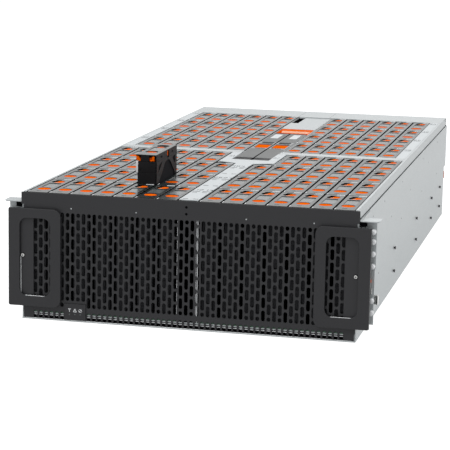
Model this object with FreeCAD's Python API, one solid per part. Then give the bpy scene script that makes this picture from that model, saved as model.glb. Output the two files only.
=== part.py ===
"""Disk shelf enclosure: a 4U, 19-inch, top-loading shelf for 102 drive carriers.

Millimetres. While the parts are modelled, X runs to the right, Y runs to the rear from the front
face of the front panel, and Z runs up from the floor. On export every part moves by SHIFT_Y, so the
origin of the finished model is at the bottom centre of its bounding box.
"""
import FreeCAD
import Part

import math
import os

from FreeCAD import Vector

# ---------------------------------------------------------------- driving dimensions

# Chassis
BODY_WIDTH = 447.0          # outside of the side walls
SHEET = 1.5                 # floor, side walls, covers and panel
INNER_SHEET = 0.9           # walls inside the chassis
WALL_TOP = 156.5            # the side wall's top edge, with the top rail standing inside it
RAIL_LOW = 149.0            # lower edge of the top rail
TOP = 171.0                 # top faces of rails, strips and covers
FAN_BAY = 88.6              # from the last row of carriers to the rear end
OVERHANG = 23.0             # how far the upper half reaches past the lower one
OVERHANG_Z = 85.0           # height where the overhang starts
COVER_SETBACK = 8.0         # rear edge of the rear cover to the rear end
DECK_Z = 8.3                # underside of the deck that carries the boards
BOARD = 1.6                 # backplane board
BOARD_CLEAR = 0.3           # boards to the walls beside them
FIT = 0.3                   # clearance of a part that slides or lifts out
SEAT = 0.1                  # clearance of a part that is fixed in place

# Drive carriers
COLUMN_PITCH = 29.16
ROW_PITCH = 110.6
CARRIER_GAP = 0.56
FRONT_ROW_START = 2.2
FRONT_INNER = 14.1          # inner edge of the front blocks
FRONT_COLUMNS = 7
FRONT_ROWS = 4
REAR_INNER = 28.9           # inner edge of the rear blocks
REAR_COLUMNS = 6
REAR_ROWS = 4
CARRIER_TOP = 170.2
CAP_HEIGHT = 9.7
LIFTED_COLUMN = 2           # third column from the centre of the left front block
LIFTED_ROW = 1
LIFT = 40.0                 # how far the lifted carrier stands out
CROSS_BAR_WIDTH = 22.4

# One carrier
DRIVE_SIZE = Vector(26.1, 101.6, 147.0)
POST = 4.0                  # front and rear posts of the carrier frame
TRUSS = 1.1                 # thickness of the braced side
BRACE = 5.0                 # width of a brace
FINGER_R = 8.75             # finger holes in the cap
FINGER_FRONT = 30.0         # from the carrier's front face
FINGER_REAR = 89.0
CAP_WALL = 1.5
PAD_DEPTH = 4.0             # latch pad below the top of the cap
PAD_THICK = 1.8
PAD_HALF = 8.0
LATCH_LOW = 9.2             # lowest edge of a latch, below the top of the cap
LATCH_HIGH = 2.0            # highest edge of a latch, below the top of the cap
LATCH_BAR = (3.8, 6.0)      # cross bar of a latch, from the carrier's end
NOTCH = (18.5, 27.0)        # notch in the cap's end wall
LEG = (22.5, 26.2)          # latch leg in that notch
LEG_FOOT = 19.5             # the leg's foot reaches back to here
FOOT_HEIGHT = 1.6
CORNER_CUT = (7.2, 8.0)     # cap corner left open for the latch hook, along X and Y
HOOK_WIDTH = 6.3
SIDE_SLOT = (58.0, 68.0, 12.0)  # slot in the cap's right side: start, end and depth
SIDE_BAR = (61.0, 64.0)     # latch bar in that slot
FRAME_CORNER = (3.4, 25.0)  # frame corner left open in front of the drive: width and depth
WINDOW_FRONT = ((33.0, -12.5), (14.0, -17.0), (14.0, -26.0))
WINDOW_REAR = ((86.0, -14.5), (100.0, -13.0), (100.0, -25.0))
WINDOW_MIDDLE = ((24.0, -34.0), (46.0, -17.0), (72.0, -16.0), (99.0, -36.0), (99.0, -50.0),
                 (18.0, -50.0), (18.0, -38.0))
BRACE_LOW = 8.0             # the triangular braces start at this height
BRACE_TOP = 55.0            # and end this far below the top of the cap
BRACE_STEPS = 3
CAP_RECESS = 0.7
CAP_RECESS_HALF = 9.0
BAIL_PIN_R = 1.0

# Front panel
PANEL_LOW_INSET = 2.3       # below the shoulder, from the side wall
SHOULDER_Z = 154.0
PANEL_GAP = 0.5             # panel teeth to the floor
VENT_TOP = 145.0
VENT_PITCH_X = 7.32
VENT_PITCH_Z = 17.2
VENT_W = 4.8
VENT_BRIDGE = 3.1
VENT_ROWS = 7
VENT_HALF_COLUMNS = 28
COMB_TOP = 12.4
LED_COLUMNS = range(-22, -18)
LED_TOP = 24.2
LED_THICK = 1.6
LED_LIP = 2.0

# Rack handles
HANDLE_OVERHANG = 17.0      # outer edge beyond the side wall
HANDLE_WIDTH = 71.6
HANDLE_BOTTOM = 18.3
HANDLE_TOP = 149.3
HANDLE_RIM_IN = 14.2        # widths of the rim round the window
HANDLE_RIM_OUT = 15.4
HANDLE_RIM_LOW = 14.2
HANDLE_RIM_TOP = 12.8
HANDLE_R = 10.0
HANDLE_STANDOFF = 6.0       # panel face to handle face
HANDLE_SHEET = 2.0
EAR_WIDTH = 31.5            # ear plate behind the window
EAR_SCREW_R = 3.2
EAR_SCREW_HEAD = 1.6
EAR_SCREW_INSET = 3.4       # screw axis to the window's outer edge
EAR_SCREW_Z = 86.0

# Rail brackets
BRACKET_REACH = 26.0        # top tab beyond the side wall
FLANGE_REACH = 21.0         # front flange beyond the side wall
BRACKET_Y = 12.0            # front flange, behind the rack post
BRACKET_LENGTH = 90.0
RETURN_END = 35.0           # rear edge of the flange's outer return
BRACKET_SHEET = 1.5
BRACKET_BOTTOM = 22.0
BRACKET_TOP = 156.0
BRACKET_STEP = 95.0         # the flange is wide above this height
TAB_DEPTH = 26.0
TAB_CORNER = 6.0
PEG_REACH = 16.0            # peg axis beyond the side wall
PEG_R = 4.0
PEG_LENGTH = 9.5
PEG_HEIGHTS = (39.675, 55.55, 100.0, 115.875, 131.75, 144.45)
ROUND_PEGS = (100.0, 131.75)    # these locate the bracket; the plain ones have flats to stay light
PEG_SIDES = 8
RAIL_LATCH_Z = 46.0
RAIL_LATCH_HEIGHT = 12.0
RAIL_LATCH_OFFSET = 6.0     # pivot axis beyond the side wall
RAIL_LATCH_Y = 26.0
RAIL_LATCH_REACH = 18.0
RAIL_LATCH_THICK = 4.0

# Centre strip and the bays behind it
STRIP_HALF = 12.6
STRIP_START = 6.0
STRIP_OVERLAP = 3.0         # the strip runs this far past the third row
COLLAR_TAPER = 13.0         # the strip widens into the collar over this length
COLLAR_LIP = 25.0           # collar in front of the expanders
COLLAR_CLEAR = 0.4          # collar to the cross bar
EXPANDER_HALF_GAP = 0.15
POCKET_OFFSET = 137.0       # latch pocket, from the front of an expander
POCKET_LENGTH = 44.0
POCKET_DEPTH = 12.0
POCKET_RIM = 3.0
EXPANDER_LATCH_OFFSET = 8.0     # lever, from the front of its pocket
EXPANDER_LATCH_LENGTH = 30.0
EXPANDER_LATCH_THICK = 4.0
EXPANDER_SLOT = (191.0, 204.0, 6.0)     # air slot: start, end and depth
EXPANDER_VENT = (129.0, 133.0, 4.0)     # narrow slot in front of the pocket
EXPANDER_LIP = 25.0         # low lip at the front
EXPANDER_DROP = 1.5
SIDE_DUCT_INSET = 5.1       # outer edge of the rear side strips, from the side wall
BAIL_GAP = 5.0              # bail seat to the expanders and to the I/O modules
BAIL_LENGTH = 58.0
BAIL_BAR = 27.0
BAIL_ARM = 2.5
BAIL_THICK = 4.0
BAIL_TOP = 169.0
BAIL_SEAT_TOP = 160.0
BAIL_SEAT_HEIGHT = 20.0
BAY_CLEAR = 9.0             # power supplies to the deck in front of them
RECESS_LENGTH = 77.4        # cable recess, measured from the last row's end
RECESS_IN = -15.0

# Pull-out modules at the rear
PSU_WIDTH = 54.5
PSU_HEIGHT = 40.0
PSU_LENGTH = 199.0
PSU_SETBACK = 1.0           # rear face to the lower rear end
PSU_HANDLE_REACH = 15.0
IO_LENGTH = 217.0
LEVER_REACH = 14.0
LEVER_NOSE = 3.0
FAN_DEPTH = 64.0
ROTOR_INSET = 8.0           # rotor to the fan's front face
ROTOR_DEPTH = 26.0
HUB_GAP = 0.5
FAN_DUCT_R = 38.0
FAN_HUB_R = 16.0
FAN_BLADES = 7
DUCT_SIDES = 16
HUB_SIDES = 10
FAN_LATCH_WIDTH = 34.0
FAN_LATCH_BOTTOM = 62.0
FAN_LATCH_THICK = 6.0
REAR_VENTS = 6

# ---------------------------------------------------------------- derived places

HALF = BODY_WIDTH / 2
HALF_IN = HALF - SHEET
DECK_TOP = DECK_Z + SHEET
CARRIER_BOTTOM = DECK_TOP + BOARD + FIT
CARRIER_WIDTH = COLUMN_PITCH - CARRIER_GAP
CARRIER_LENGTH = ROW_PITCH - CARRIER_GAP
CARRIER_HEIGHT = CARRIER_TOP - CARRIER_BOTTOM
FRAME_HEIGHT = CARRIER_HEIGHT - CAP_HEIGHT
FRONT_END = FRONT_ROW_START + FRONT_ROWS * ROW_PITCH
REAR_ROW_START = FRONT_END + CROSS_BAR_WIDTH
REAR_END = REAR_ROW_START + REAR_ROWS * ROW_PITCH
UPPER_DEPTH = REAR_END + FAN_BAY            # the upper half ends here
LOWER_DEPTH = UPPER_DEPTH - OVERHANG        # the lower half ends here
COVER_END = UPPER_DEPTH - COVER_SETBACK
FRONT_REACH = HANDLE_STANDOFF
SHIFT_Y = -(UPPER_DEPTH - FRONT_REACH) / 2
FRONT_OUTER = FRONT_INNER + FRONT_COLUMNS * COLUMN_PITCH
REAR_OUTER = REAR_INNER + REAR_COLUMNS * COLUMN_PITCH
COLLAR_HALF = FRONT_INNER + COLUMN_PITCH
STRIP_END = FRONT_ROW_START + (FRONT_ROWS - 1) * ROW_PITCH + STRIP_OVERLAP
COLLAR_START = STRIP_END + COLLAR_TAPER
COLLAR_END = FRONT_END - COLLAR_CLEAR
PSU_REAR = LOWER_DEPTH - PSU_SETBACK
PSU_FRONT = PSU_REAR - PSU_LENGTH
IO_FRONT = PSU_REAR - IO_LENGTH
REAR_BAY_START = PSU_FRONT - BAY_CLEAR
BAIL_END = IO_FRONT - BAIL_GAP
BAIL_START = BAIL_END - BAIL_LENGTH
RECESS_START = REAR_END - RECESS_LENGTH
EXPANDER_START = COLLAR_START + COLLAR_LIP
EXPANDER_END = BAIL_START - BAIL_GAP
EXPANDER_BOTTOM = DECK_TOP + FIT
EXPANDER_TOP = CARRIER_TOP
POCKET_START = EXPANDER_START + POCKET_OFFSET
POCKET_END = POCKET_START + POCKET_LENGTH
EXPANDER_LATCH_START = POCKET_START + EXPANDER_LATCH_OFFSET
EXPANDER_LATCH_END = EXPANDER_LATCH_START + EXPANDER_LATCH_LENGTH
PANEL_BOTTOM = SHEET + PANEL_GAP
VENT_H = VENT_PITCH_Z - VENT_BRIDGE
VENT_SHORT = VENT_PITCH_Z / 2 - VENT_BRIDGE
LED_LEFT = (LED_COLUMNS[0] - 0.5) * VENT_PITCH_X
LED_RIGHT = (LED_COLUMNS[-1] + 0.5) * VENT_PITCH_X
BAY_HALF = REAR_INNER - INNER_SHEET
MODULE_HALF = BAY_HALF - FIT
SHELF_TOP = OVERHANG_Z
RAIL_IN = HALF_IN - SHEET
FAN_WIDTH = (RAIL_IN - REAR_INNER - 3 * FIT) / 2
FAN_BOTTOM = SHELF_TOP + FIT
FAN_TOP = TOP - SHEET - FIT
FAN_START = UPPER_DEPTH - FAN_DEPTH
FAN_AXIS_Z = (FAN_BOTTOM + FAN_TOP) / 2
ROTOR_START = FAN_START + ROTOR_INSET
HANDLE_OUT = HALF + HANDLE_OVERHANG
HANDLE_IN = HANDLE_OUT - HANDLE_WIDTH
EAR_IN = HANDLE_OUT - HANDLE_SHEET - EAR_WIDTH
BRACKET_OUT = HALF + BRACKET_REACH
FLANGE_OUT = HALF + FLANGE_REACH
PEG_X = HALF + PEG_REACH
PANEL_LOW_HALF = HALF - PANEL_LOW_INSET
RAIL_LATCH_X = HALF + RAIL_LATCH_OFFSET
SIDE_DUCT_EDGE = HALF - SIDE_DUCT_INSET
PLATE_UNDER = TOP - 2 * SHEET
TRAY_THICK = 0.6
PSU_BOTTOMS = (SHEET + FIT, SHEET + 3 * FIT + PSU_HEIGHT + INNER_SHEET)
IO_BOTTOM = SHELF_TOP + FIT
IO_TOP = PLATE_UNDER - TRAY_THICK - FIT


# ---------------------------------------------------------------- shape helpers

def box(x0, x1, y0, y1, z0, z1):
    """A box between two corners."""
    return Part.makeBox(x1 - x0, y1 - y0, z1 - z0, Vector(x0, y0, z0))


def wire(points):
    """A closed wire through the points."""
    return Part.makePolygon(list(points) + [points[0]])


def mirrored(shape):
    """The shape on the other side of the centre plane."""
    return shape.mirror(Vector(0, 0, 0), Vector(1, 0, 0))


def both_sides(shape):
    """The shape and its mirror image, as two separate solids."""
    return [shape, mirrored(shape)]


def fuse(shapes):
    """One solid from touching or overlapping ones."""
    return shapes[0].fuse(shapes[1:]).removeSplitter()


def moved(shape, x, y, z):
    """A copy of the shape, moved."""
    copy = shape.copy()
    copy.translate(Vector(x, y, z))
    return copy


def profile_y(points, y0, y1):
    """An outline in X and Z, drawn along Y."""
    face = Part.Face(wire([Vector(x, y0, z) for x, z in points]))
    return face.extrude(Vector(0, y1 - y0, 0))


def profile_x(points, x0, x1):
    """An outline in Y and Z, drawn along X."""
    face = Part.Face(wire([Vector(x0, y, z) for y, z in points]))
    return face.extrude(Vector(x1 - x0, 0, 0))


def plate_z(points, z0, z1):
    """An outline in X and Y, drawn along Z."""
    face = Part.Face(wire([Vector(x, y, z0) for x, y in points]))
    return face.extrude(Vector(0, 0, z1 - z0))


def rod_x(radius, x0, x1, y, z):
    """A round rod along X."""
    return Part.makeCylinder(radius, x1 - x0, Vector(x0, y, z), Vector(1, 0, 0))


def rod_y(radius, y0, y1, x, z):
    """A round rod along Y."""
    return Part.makeCylinder(radius, y1 - y0, Vector(x, y0, z), Vector(0, 1, 0))


def rod_z(radius, z0, z1, x, y):
    """A round rod along Z."""
    return Part.makeCylinder(radius, z1 - z0, Vector(x, y, z0), Vector(0, 0, 1))


def prism_y(radius, sides, y0, y1, x, z):
    """A many-sided stand-in for a round rod along Y, with a flat at the top."""
    turn = math.pi / sides
    points = [(x + radius * math.sin(2 * i * turn + turn), z + radius * math.cos(2 * i * turn + turn))
              for i in range(sides)]
    return profile_y(points, y0, y1)


def rounded_rect_y(x0, x1, z0, z1, radius, y0, y1):
    """A rounded rectangle in X and Z, drawn along Y."""
    solid = box(x0, x1, y0, y1, z0, z1)
    edges = [e for e in solid.Edges if abs(e.tangentAt(e.FirstParameter).y) > 0.9]
    return solid.makeFillet(radius, edges)


# ---------------------------------------------------------------- chassis

def chassis_tub():
    """Floor and side walls, folded from one sheet, with the overhanging upper rear."""
    floor = box(-HALF, HALF, 0, LOWER_DEPTH, 0, SHEET)
    side = [(SHEET, 0), (LOWER_DEPTH, 0), (LOWER_DEPTH, OVERHANG_Z), (UPPER_DEPTH, OVERHANG_Z),
            (UPPER_DEPTH, WALL_TOP), (SHEET, WALL_TOP)]
    wall = profile_x(side, HALF_IN, HALF)
    return [fuse([floor] + both_sides(wall))]


def top_side_rails():
    """Angle rails inside the top edge of each side wall, in front of the rear cover."""
    rail = [(HALF_IN, RAIL_LOW), (HALF_IN, TOP), (SIDE_DUCT_EDGE + SEAT, TOP),
            (SIDE_DUCT_EDGE + SEAT, TOP - SHEET), (RAIL_IN, TOP - SHEET), (RAIL_IN, RAIL_LOW)]
    return both_sides(profile_y(rail, SHEET + SEAT, REAR_END))


def drive_deck():
    """Raised deck under the boards: a full-width front tray and two side trays at the rear."""
    foot = SHEET
    outer = HALF_IN - SEAT
    tray = [(-outer, SHEET), (-outer, DECK_TOP), (outer, DECK_TOP), (outer, SHEET),
            (outer - foot, SHEET), (outer - foot, DECK_Z), (foot - outer, DECK_Z), (foot - outer, SHEET)]
    front = profile_y(tray, SHEET + SEAT, REAR_BAY_START)
    inner = REAR_INNER + SEAT
    side = [(inner, SHEET), (inner, DECK_TOP), (outer, DECK_TOP), (outer, SHEET),
            (outer - foot, SHEET), (outer - foot, DECK_Z), (inner + foot, DECK_Z), (inner + foot, SHEET)]
    rear = profile_y(side, REAR_BAY_START + SEAT, LOWER_DEPTH - SHEET - SEAT)
    return [front] + both_sides(rear)


def backplane_front():
    """One board under each front block of carriers."""
    board = box(FRONT_INNER + BOARD_CLEAR, FRONT_OUTER, FRONT_ROW_START, FRONT_END, DECK_TOP,
                DECK_TOP + BOARD)
    bay = box(0, COLLAR_HALF + BOARD_CLEAR, STRIP_END - SEAT, FRONT_END + 1, 0, TOP)
    return both_sides(board.cut(bay))


def backplane_rear():
    """One board under each rear block of carriers."""
    board = box(REAR_INNER + BOARD_CLEAR, REAR_OUTER, REAR_ROW_START + SEAT, REAR_END, DECK_TOP,
                DECK_TOP + BOARD)
    return both_sides(board)


def center_divider():
    """Upright channel between the two front blocks, under the centre strip."""
    out = FRONT_INNER - 0.2
    inn = out - INNER_SHEET
    low = DECK_TOP + SHEET
    high = TOP - SHEET
    channel = [(-out, DECK_TOP), (out, DECK_TOP), (out, high), (inn, high), (inn, low), (-inn, low),
               (-inn, high), (-out, high)]
    return [profile_y(channel, SHEET + SEAT, STRIP_END)]


def center_strip():
    """Label strip on top of the divider, widening to a collar round the expander bay."""
    collar = COLLAR_HALF - 2.0
    inn = BAY_HALF
    outline = [(-STRIP_HALF, STRIP_START), (STRIP_HALF, STRIP_START), (STRIP_HALF, STRIP_END),
               (collar, COLLAR_START), (collar, COLLAR_END), (inn + SEAT, COLLAR_END),
               (inn + SEAT, EXPANDER_START - FIT), (-inn - SEAT, EXPANDER_START - FIT),
               (-inn - SEAT, COLLAR_END), (-collar, COLLAR_END), (-collar, COLLAR_START),
               (-STRIP_HALF, STRIP_END)]
    return [plate_z(outline, TOP - SHEET, TOP)]


def bay_walls():
    """Walls of the centre bays, from the collar to the rear end."""
    high = TOP - SHEET
    side = [(COLLAR_START, DECK_TOP), (REAR_BAY_START + SEAT, DECK_TOP), (REAR_BAY_START + SEAT, SHEET),
            (LOWER_DEPTH - SHEET, SHEET), (LOWER_DEPTH - SHEET, high), (COLLAR_START, high)]
    long_wall = profile_x(side, BAY_HALF, REAR_INNER)
    collar_out = COLLAR_HALF - 0.2
    collar = box(collar_out - INNER_SHEET, collar_out, COLLAR_START, FRONT_END - SEAT, DECK_TOP, high)
    front = box(-collar_out, collar_out, COLLAR_START - INNER_SHEET, COLLAR_START, DECK_TOP, high)
    end_wall = box(-BAY_HALF, BAY_HALF, EXPANDER_END + FIT, EXPANDER_END + FIT + INNER_SHEET, DECK_TOP,
                   BAIL_SEAT_TOP)
    return [fuse(both_sides(long_wall) + both_sides(collar) + [front, end_wall])]


def cross_bar():
    """Folded bars between the front and rear blocks, left and right of the centre bay."""
    y0 = FRONT_END
    y1 = REAR_ROW_START
    low = DECK_TOP
    bar = [(y0, low), (y0 + SHEET, low), (y0 + SHEET, TOP - SHEET), (y1 - SHEET, TOP - SHEET),
           (y1 - SHEET, low), (y1, low), (y1, TOP), (y0, TOP)]
    return both_sides(profile_x(bar, REAR_INNER + SEAT, SIDE_DUCT_EDGE))


def rear_side_strips():
    """Folded side ducts outside the rear blocks, with a bare label strip on top."""
    out = SIDE_DUCT_EDGE
    inn = REAR_OUTER + 0.2
    duct = [(inn, DECK_TOP), (inn, TOP), (out, TOP), (out, DECK_TOP), (out - INNER_SHEET, DECK_TOP),
            (out - INNER_SHEET, TOP - SHEET), (inn + INNER_SHEET, TOP - SHEET),
            (inn + INNER_SHEET, DECK_TOP)]
    return both_sides(profile_y(duct, REAR_ROW_START + SEAT, REAR_END))


def rear_cover():
    """Cover over the fans, on two side flanges that continue the top rails."""
    plate = box(-HALF_IN, HALF_IN, REAR_END + SEAT, COVER_END, TOP - SHEET, TOP)
    flange = box(RAIL_IN, HALF_IN, REAR_END + SEAT, COVER_END, RAIL_LOW, TOP - SHEET)
    return [plate] + both_sides(flange)


def rear_shelf():
    """Shelves that carry the fans and the I/O modules."""
    low = SHELF_TOP - SHEET
    side = box(REAR_INNER, HALF_IN, REAR_END, COVER_END, low, SHELF_TOP)
    centre = box(-BAY_HALF, BAY_HALF, REAR_BAY_START, LOWER_DEPTH - SHEET, low, SHELF_TOP)
    middle_z = SHEET + FIT + PSU_HEIGHT + FIT
    middle = box(-BAY_HALF, BAY_HALF, REAR_BAY_START, LOWER_DEPTH - SHEET, middle_z,
                 middle_z + INNER_SHEET)
    return both_sides(side) + [centre, middle]


def rear_panel():
    """Vented lower rear panels, left and right of the power supplies."""
    x0 = REAR_INNER
    y0 = LOWER_DEPTH - SHEET
    z1 = SHELF_TOP - SHEET
    pitch = (HALF_IN - x0) / REAR_VENTS
    outline = wire([Vector(x0, y0, SHEET), Vector(HALF_IN, y0, SHEET), Vector(HALF_IN, y0, z1),
                    Vector(x0, y0, z1)])
    wires = [outline]
    for i in range(REAR_VENTS):
        left = x0 + (i + 0.2) * pitch
        right = x0 + (i + 0.8) * pitch
        wires.append(wire([Vector(left, y0, 14), Vector(left, y0, z1 - 10), Vector(right, y0, z1 - 10),
                           Vector(right, y0, 14)]))
    return both_sides(Part.Face(wires).extrude(Vector(0, SHEET, 0)))


def center_rear_plate():
    """Plate over the I/O bay, cut back round the cable recess at its left rear."""
    half = BAY_HALF - SEAT
    outline = [(-half, BAIL_END + 1), (half, BAIL_END + 1), (half, REAR_END), (RECESS_IN, REAR_END),
               (RECESS_IN, RECESS_START), (-half, RECESS_START)]
    plate = plate_z(outline, PLATE_UNDER, TOP - SHEET)
    tray = box(-half, RECESS_IN, RECESS_START, REAR_END, PLATE_UNDER - TRAY_THICK, PLATE_UNDER)
    return [fuse([plate, tray])]


# ---------------------------------------------------------------- front

def vent_spans(column):
    """Bottom and top of each opening in one column of the front panel."""
    spans = []
    top = VENT_TOP
    if column % 2 == 0:
        spans.append((top - VENT_SHORT, top))
        top -= VENT_SHORT + VENT_BRIDGE
    for _ in range(VENT_ROWS):
        spans.append((top - VENT_H, top))
        top -= VENT_PITCH_Z
    if column % 2:
        spans.append((top - VENT_SHORT, top))
    if column in LED_COLUMNS:
        last = spans.pop()
        if column % 2 == 0:
            spans.append((last[1] - VENT_SHORT, last[1]))
    return spans


def front_panel():
    """Perforated panel with a comb of teeth along its lower edge."""
    points = [Vector(HALF_IN, 0, TOP - 1), Vector(-HALF_IN, 0, TOP - 1),
              Vector(-HALF_IN, 0, SHOULDER_Z), Vector(-PANEL_LOW_HALF, 0, SHOULDER_Z),
              Vector(-PANEL_LOW_HALF, 0, PANEL_BOTTOM)]
    wires = []
    for column in range(-VENT_HALF_COLUMNS, VENT_HALF_COLUMNS + 1):
        left = column * VENT_PITCH_X - VENT_W / 2
        right = left + VENT_W
        for low, high in vent_spans(column):
            wires.append(wire([Vector(left, 0, low), Vector(left, 0, high), Vector(right, 0, high),
                               Vector(right, 0, low)]))
        if column not in LED_COLUMNS:
            points += [Vector(left, 0, PANEL_BOTTOM), Vector(left, 0, COMB_TOP),
                       Vector(right, 0, COMB_TOP), Vector(right, 0, PANEL_BOTTOM)]
    points += [Vector(PANEL_LOW_HALF, 0, PANEL_BOTTOM), Vector(PANEL_LOW_HALF, 0, SHOULDER_Z),
               Vector(HALF_IN, 0, SHOULDER_Z)]
    return [Part.Face([wire(points)] + wires).extrude(Vector(0, SHEET, 0))]


def led_panel():
    """Status light plate with a chamfered lower lip, in front of the panel."""
    side = [(0, PANEL_BOTTOM), (-LED_THICK, PANEL_BOTTOM + LED_LIP), (-LED_THICK, LED_TOP), (0, LED_TOP)]
    return [profile_x(side, LED_LEFT, LED_RIGHT)]


def handle_right():
    """Rack handle: a face with a finger window, two return flanges and the ear plate."""
    face_y = -HANDLE_STANDOFF
    back_y = face_y + HANDLE_SHEET
    face = rounded_rect_y(HANDLE_IN, HANDLE_OUT, HANDLE_BOTTOM, HANDLE_TOP, HANDLE_R, face_y, back_y)
    square_edge = box(HANDLE_OUT - HANDLE_R, HANDLE_OUT, face_y, back_y, HANDLE_BOTTOM, HANDLE_TOP)
    window = rounded_rect_y(HANDLE_IN + HANDLE_RIM_IN, HANDLE_OUT - HANDLE_RIM_OUT,
                            HANDLE_BOTTOM + HANDLE_RIM_LOW, HANDLE_TOP - HANDLE_RIM_TOP, HANDLE_R,
                            face_y - 1, back_y + 1)
    inner_return = box(HANDLE_IN, HANDLE_IN + HANDLE_SHEET, back_y, 0, HANDLE_BOTTOM + HANDLE_R,
                       HANDLE_TOP - HANDLE_R)
    outer_return = box(HANDLE_OUT - HANDLE_SHEET, HANDLE_OUT, back_y, 0, HANDLE_BOTTOM, HANDLE_TOP)
    ear = box(EAR_IN, HANDLE_OUT - HANDLE_SHEET, -HANDLE_SHEET, 0, HANDLE_BOTTOM, HANDLE_TOP)
    plate = fuse([face, square_edge]).cut(window)
    return [fuse([plate, inner_return, outer_return, ear])]


def handle_left():
    """The handle on the other side."""
    return [mirrored(handle_right()[0])]


def ear_screws():
    """Heads of the captive screws in the ear plates."""
    at = HANDLE_OUT - HANDLE_RIM_OUT - EAR_SCREW_INSET
    screw = prism_y(EAR_SCREW_R, 6, -HANDLE_SHEET - EAR_SCREW_HEAD, -HANDLE_SHEET, at, EAR_SCREW_Z)
    return both_sides(screw)


def rail_brackets():
    """Front brackets of the slide rails: side plate, top tab, front flange and locating pegs."""
    x0 = HALF
    rear = BRACKET_Y + BRACKET_SHEET
    side = box(x0, x0 + BRACKET_SHEET, BRACKET_Y, BRACKET_LENGTH, BRACKET_BOTTOM, BRACKET_TOP)
    tab = plate_z([(x0, SHEET), (BRACKET_OUT - TAB_CORNER / 2, SHEET), (BRACKET_OUT, SHEET + TAB_CORNER),
                   (BRACKET_OUT, TAB_DEPTH), (x0, TAB_DEPTH)], BRACKET_TOP, BRACKET_TOP + BRACKET_SHEET)
    wide = box(x0, FLANGE_OUT, BRACKET_Y, rear, BRACKET_STEP, BRACKET_TOP)
    turned = box(FLANGE_OUT - BRACKET_SHEET, FLANGE_OUT, BRACKET_Y, RETURN_END, BRACKET_STEP, BRACKET_TOP)
    narrow = box(x0, PEG_X + PEG_R, BRACKET_Y, rear, BRACKET_BOTTOM, BRACKET_STEP)
    tip_y = BRACKET_Y - PEG_LENGTH
    pegs = []
    for z in PEG_HEIGHTS:
        if z in ROUND_PEGS:
            pegs.append(rod_y(PEG_R, tip_y, BRACKET_Y, PEG_X, z))
        else:
            pegs.append(prism_y(PEG_R, PEG_SIDES, tip_y, BRACKET_Y, PEG_X, z))
    return both_sides(fuse([side, tab, wide, turned, narrow] + pegs))


def rail_latch_right():
    """Swinging latch behind the rail bracket's flange, rounded at its pivot."""
    z0 = RAIL_LATCH_Z
    z1 = z0 + RAIL_LATCH_HEIGHT
    half = RAIL_LATCH_THICK / 2
    tip_x = RAIL_LATCH_X + RAIL_LATCH_REACH
    outline = [(RAIL_LATCH_X, RAIL_LATCH_Y - half), (tip_x - 3, RAIL_LATCH_Y - half),
               (tip_x, RAIL_LATCH_Y - half - 6), (tip_x, RAIL_LATCH_Y + half),
               (RAIL_LATCH_X, RAIL_LATCH_Y + half), (RAIL_LATCH_X - half * 0.7, RAIL_LATCH_Y + half * 0.7),
               (RAIL_LATCH_X - half, RAIL_LATCH_Y), (RAIL_LATCH_X - half * 0.7, RAIL_LATCH_Y - half * 0.7)]
    return [plate_z(outline, z0, z1)]


def rail_latch_left():
    """The latch on the other side."""
    return [mirrored(rail_latch_right()[0])]


def rail_latch_pivots():
    """Forked ears on the bracket's side plate that hold each rail latch."""
    x0 = HALF + BRACKET_SHEET
    x1 = RAIL_LATCH_X + RAIL_LATCH_THICK / 2
    y0 = RAIL_LATCH_Y - 3
    y1 = RAIL_LATCH_Y + 3
    low = box(x0, x1, y0, y1, RAIL_LATCH_Z - FIT - 2, RAIL_LATCH_Z - FIT)
    high = moved(low, 0, 0, RAIL_LATCH_HEIGHT + 2 * FIT + 2)
    return both_sides(low) + both_sides(high)


# ---------------------------------------------------------------- drive carriers

def carrier_corner(inner, first_y, column, row, side):
    """Lower left front corner of one carrier."""
    left = inner + column * COLUMN_PITCH + CARRIER_GAP / 2
    if side < 0:
        left = -left - CARRIER_WIDTH
    return Vector(left, first_y + row * ROW_PITCH + CARRIER_GAP / 2, CARRIER_BOTTOM)


def seated_carrier(corner):
    """One closed carrier in its slot."""
    return Part.makeBox(CARRIER_WIDTH, CARRIER_LENGTH, CARRIER_HEIGHT, corner)


def is_bay(column, row):
    """The expander bay takes the innermost column of the last front row."""
    return column == 0 and row == FRONT_ROWS - 1


def is_lifted(column, row, side):
    """The carrier that stands out of its slot."""
    return side < 0 and column == LIFTED_COLUMN and row == LIFTED_ROW


def front_carriers(side):
    """Seated carriers of one front block."""
    solids = []
    for row in range(FRONT_ROWS):
        for column in range(FRONT_COLUMNS):
            if is_bay(column, row) or is_lifted(column, row, side):
                continue
            solids.append(seated_carrier(carrier_corner(FRONT_INNER, FRONT_ROW_START, column, row, side)))
    return solids


def rear_carriers(side):
    """Seated carriers of one rear block."""
    solids = []
    for row in range(REAR_ROWS):
        for column in range(REAR_COLUMNS):
            solids.append(seated_carrier(carrier_corner(REAR_INNER, REAR_ROW_START, column, row, side)))
    return solids


def lifted_corner():
    """Lower left front corner of the lifted carrier."""
    corner = carrier_corner(FRONT_INNER, FRONT_ROW_START, LIFTED_COLUMN, LIFTED_ROW, -1)
    return corner + Vector(0, 0, LIFT)


def at_lifted(shape):
    """Move a shape that is drawn from the carrier's corner to the lifted carrier."""
    corner = lifted_corner()
    return moved(shape, corner.x, corner.y, corner.z)


def side_window(points):
    """A cutter through the right side, from points below the top of the cap."""
    outline = [(y, CARRIER_HEIGHT + z) for y, z in points]
    return profile_x(outline, CARRIER_WIDTH - TRUSS - 0.5, CARRIER_WIDTH + 0.5)


def side_slot():
    """The cutter for the slot that cap and frame share in their right side."""
    start, end, depth = SIDE_SLOT
    return side_window([(start, -CAP_WALL), (end, -CAP_WALL), (end, -depth), (start, -depth)])


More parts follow.
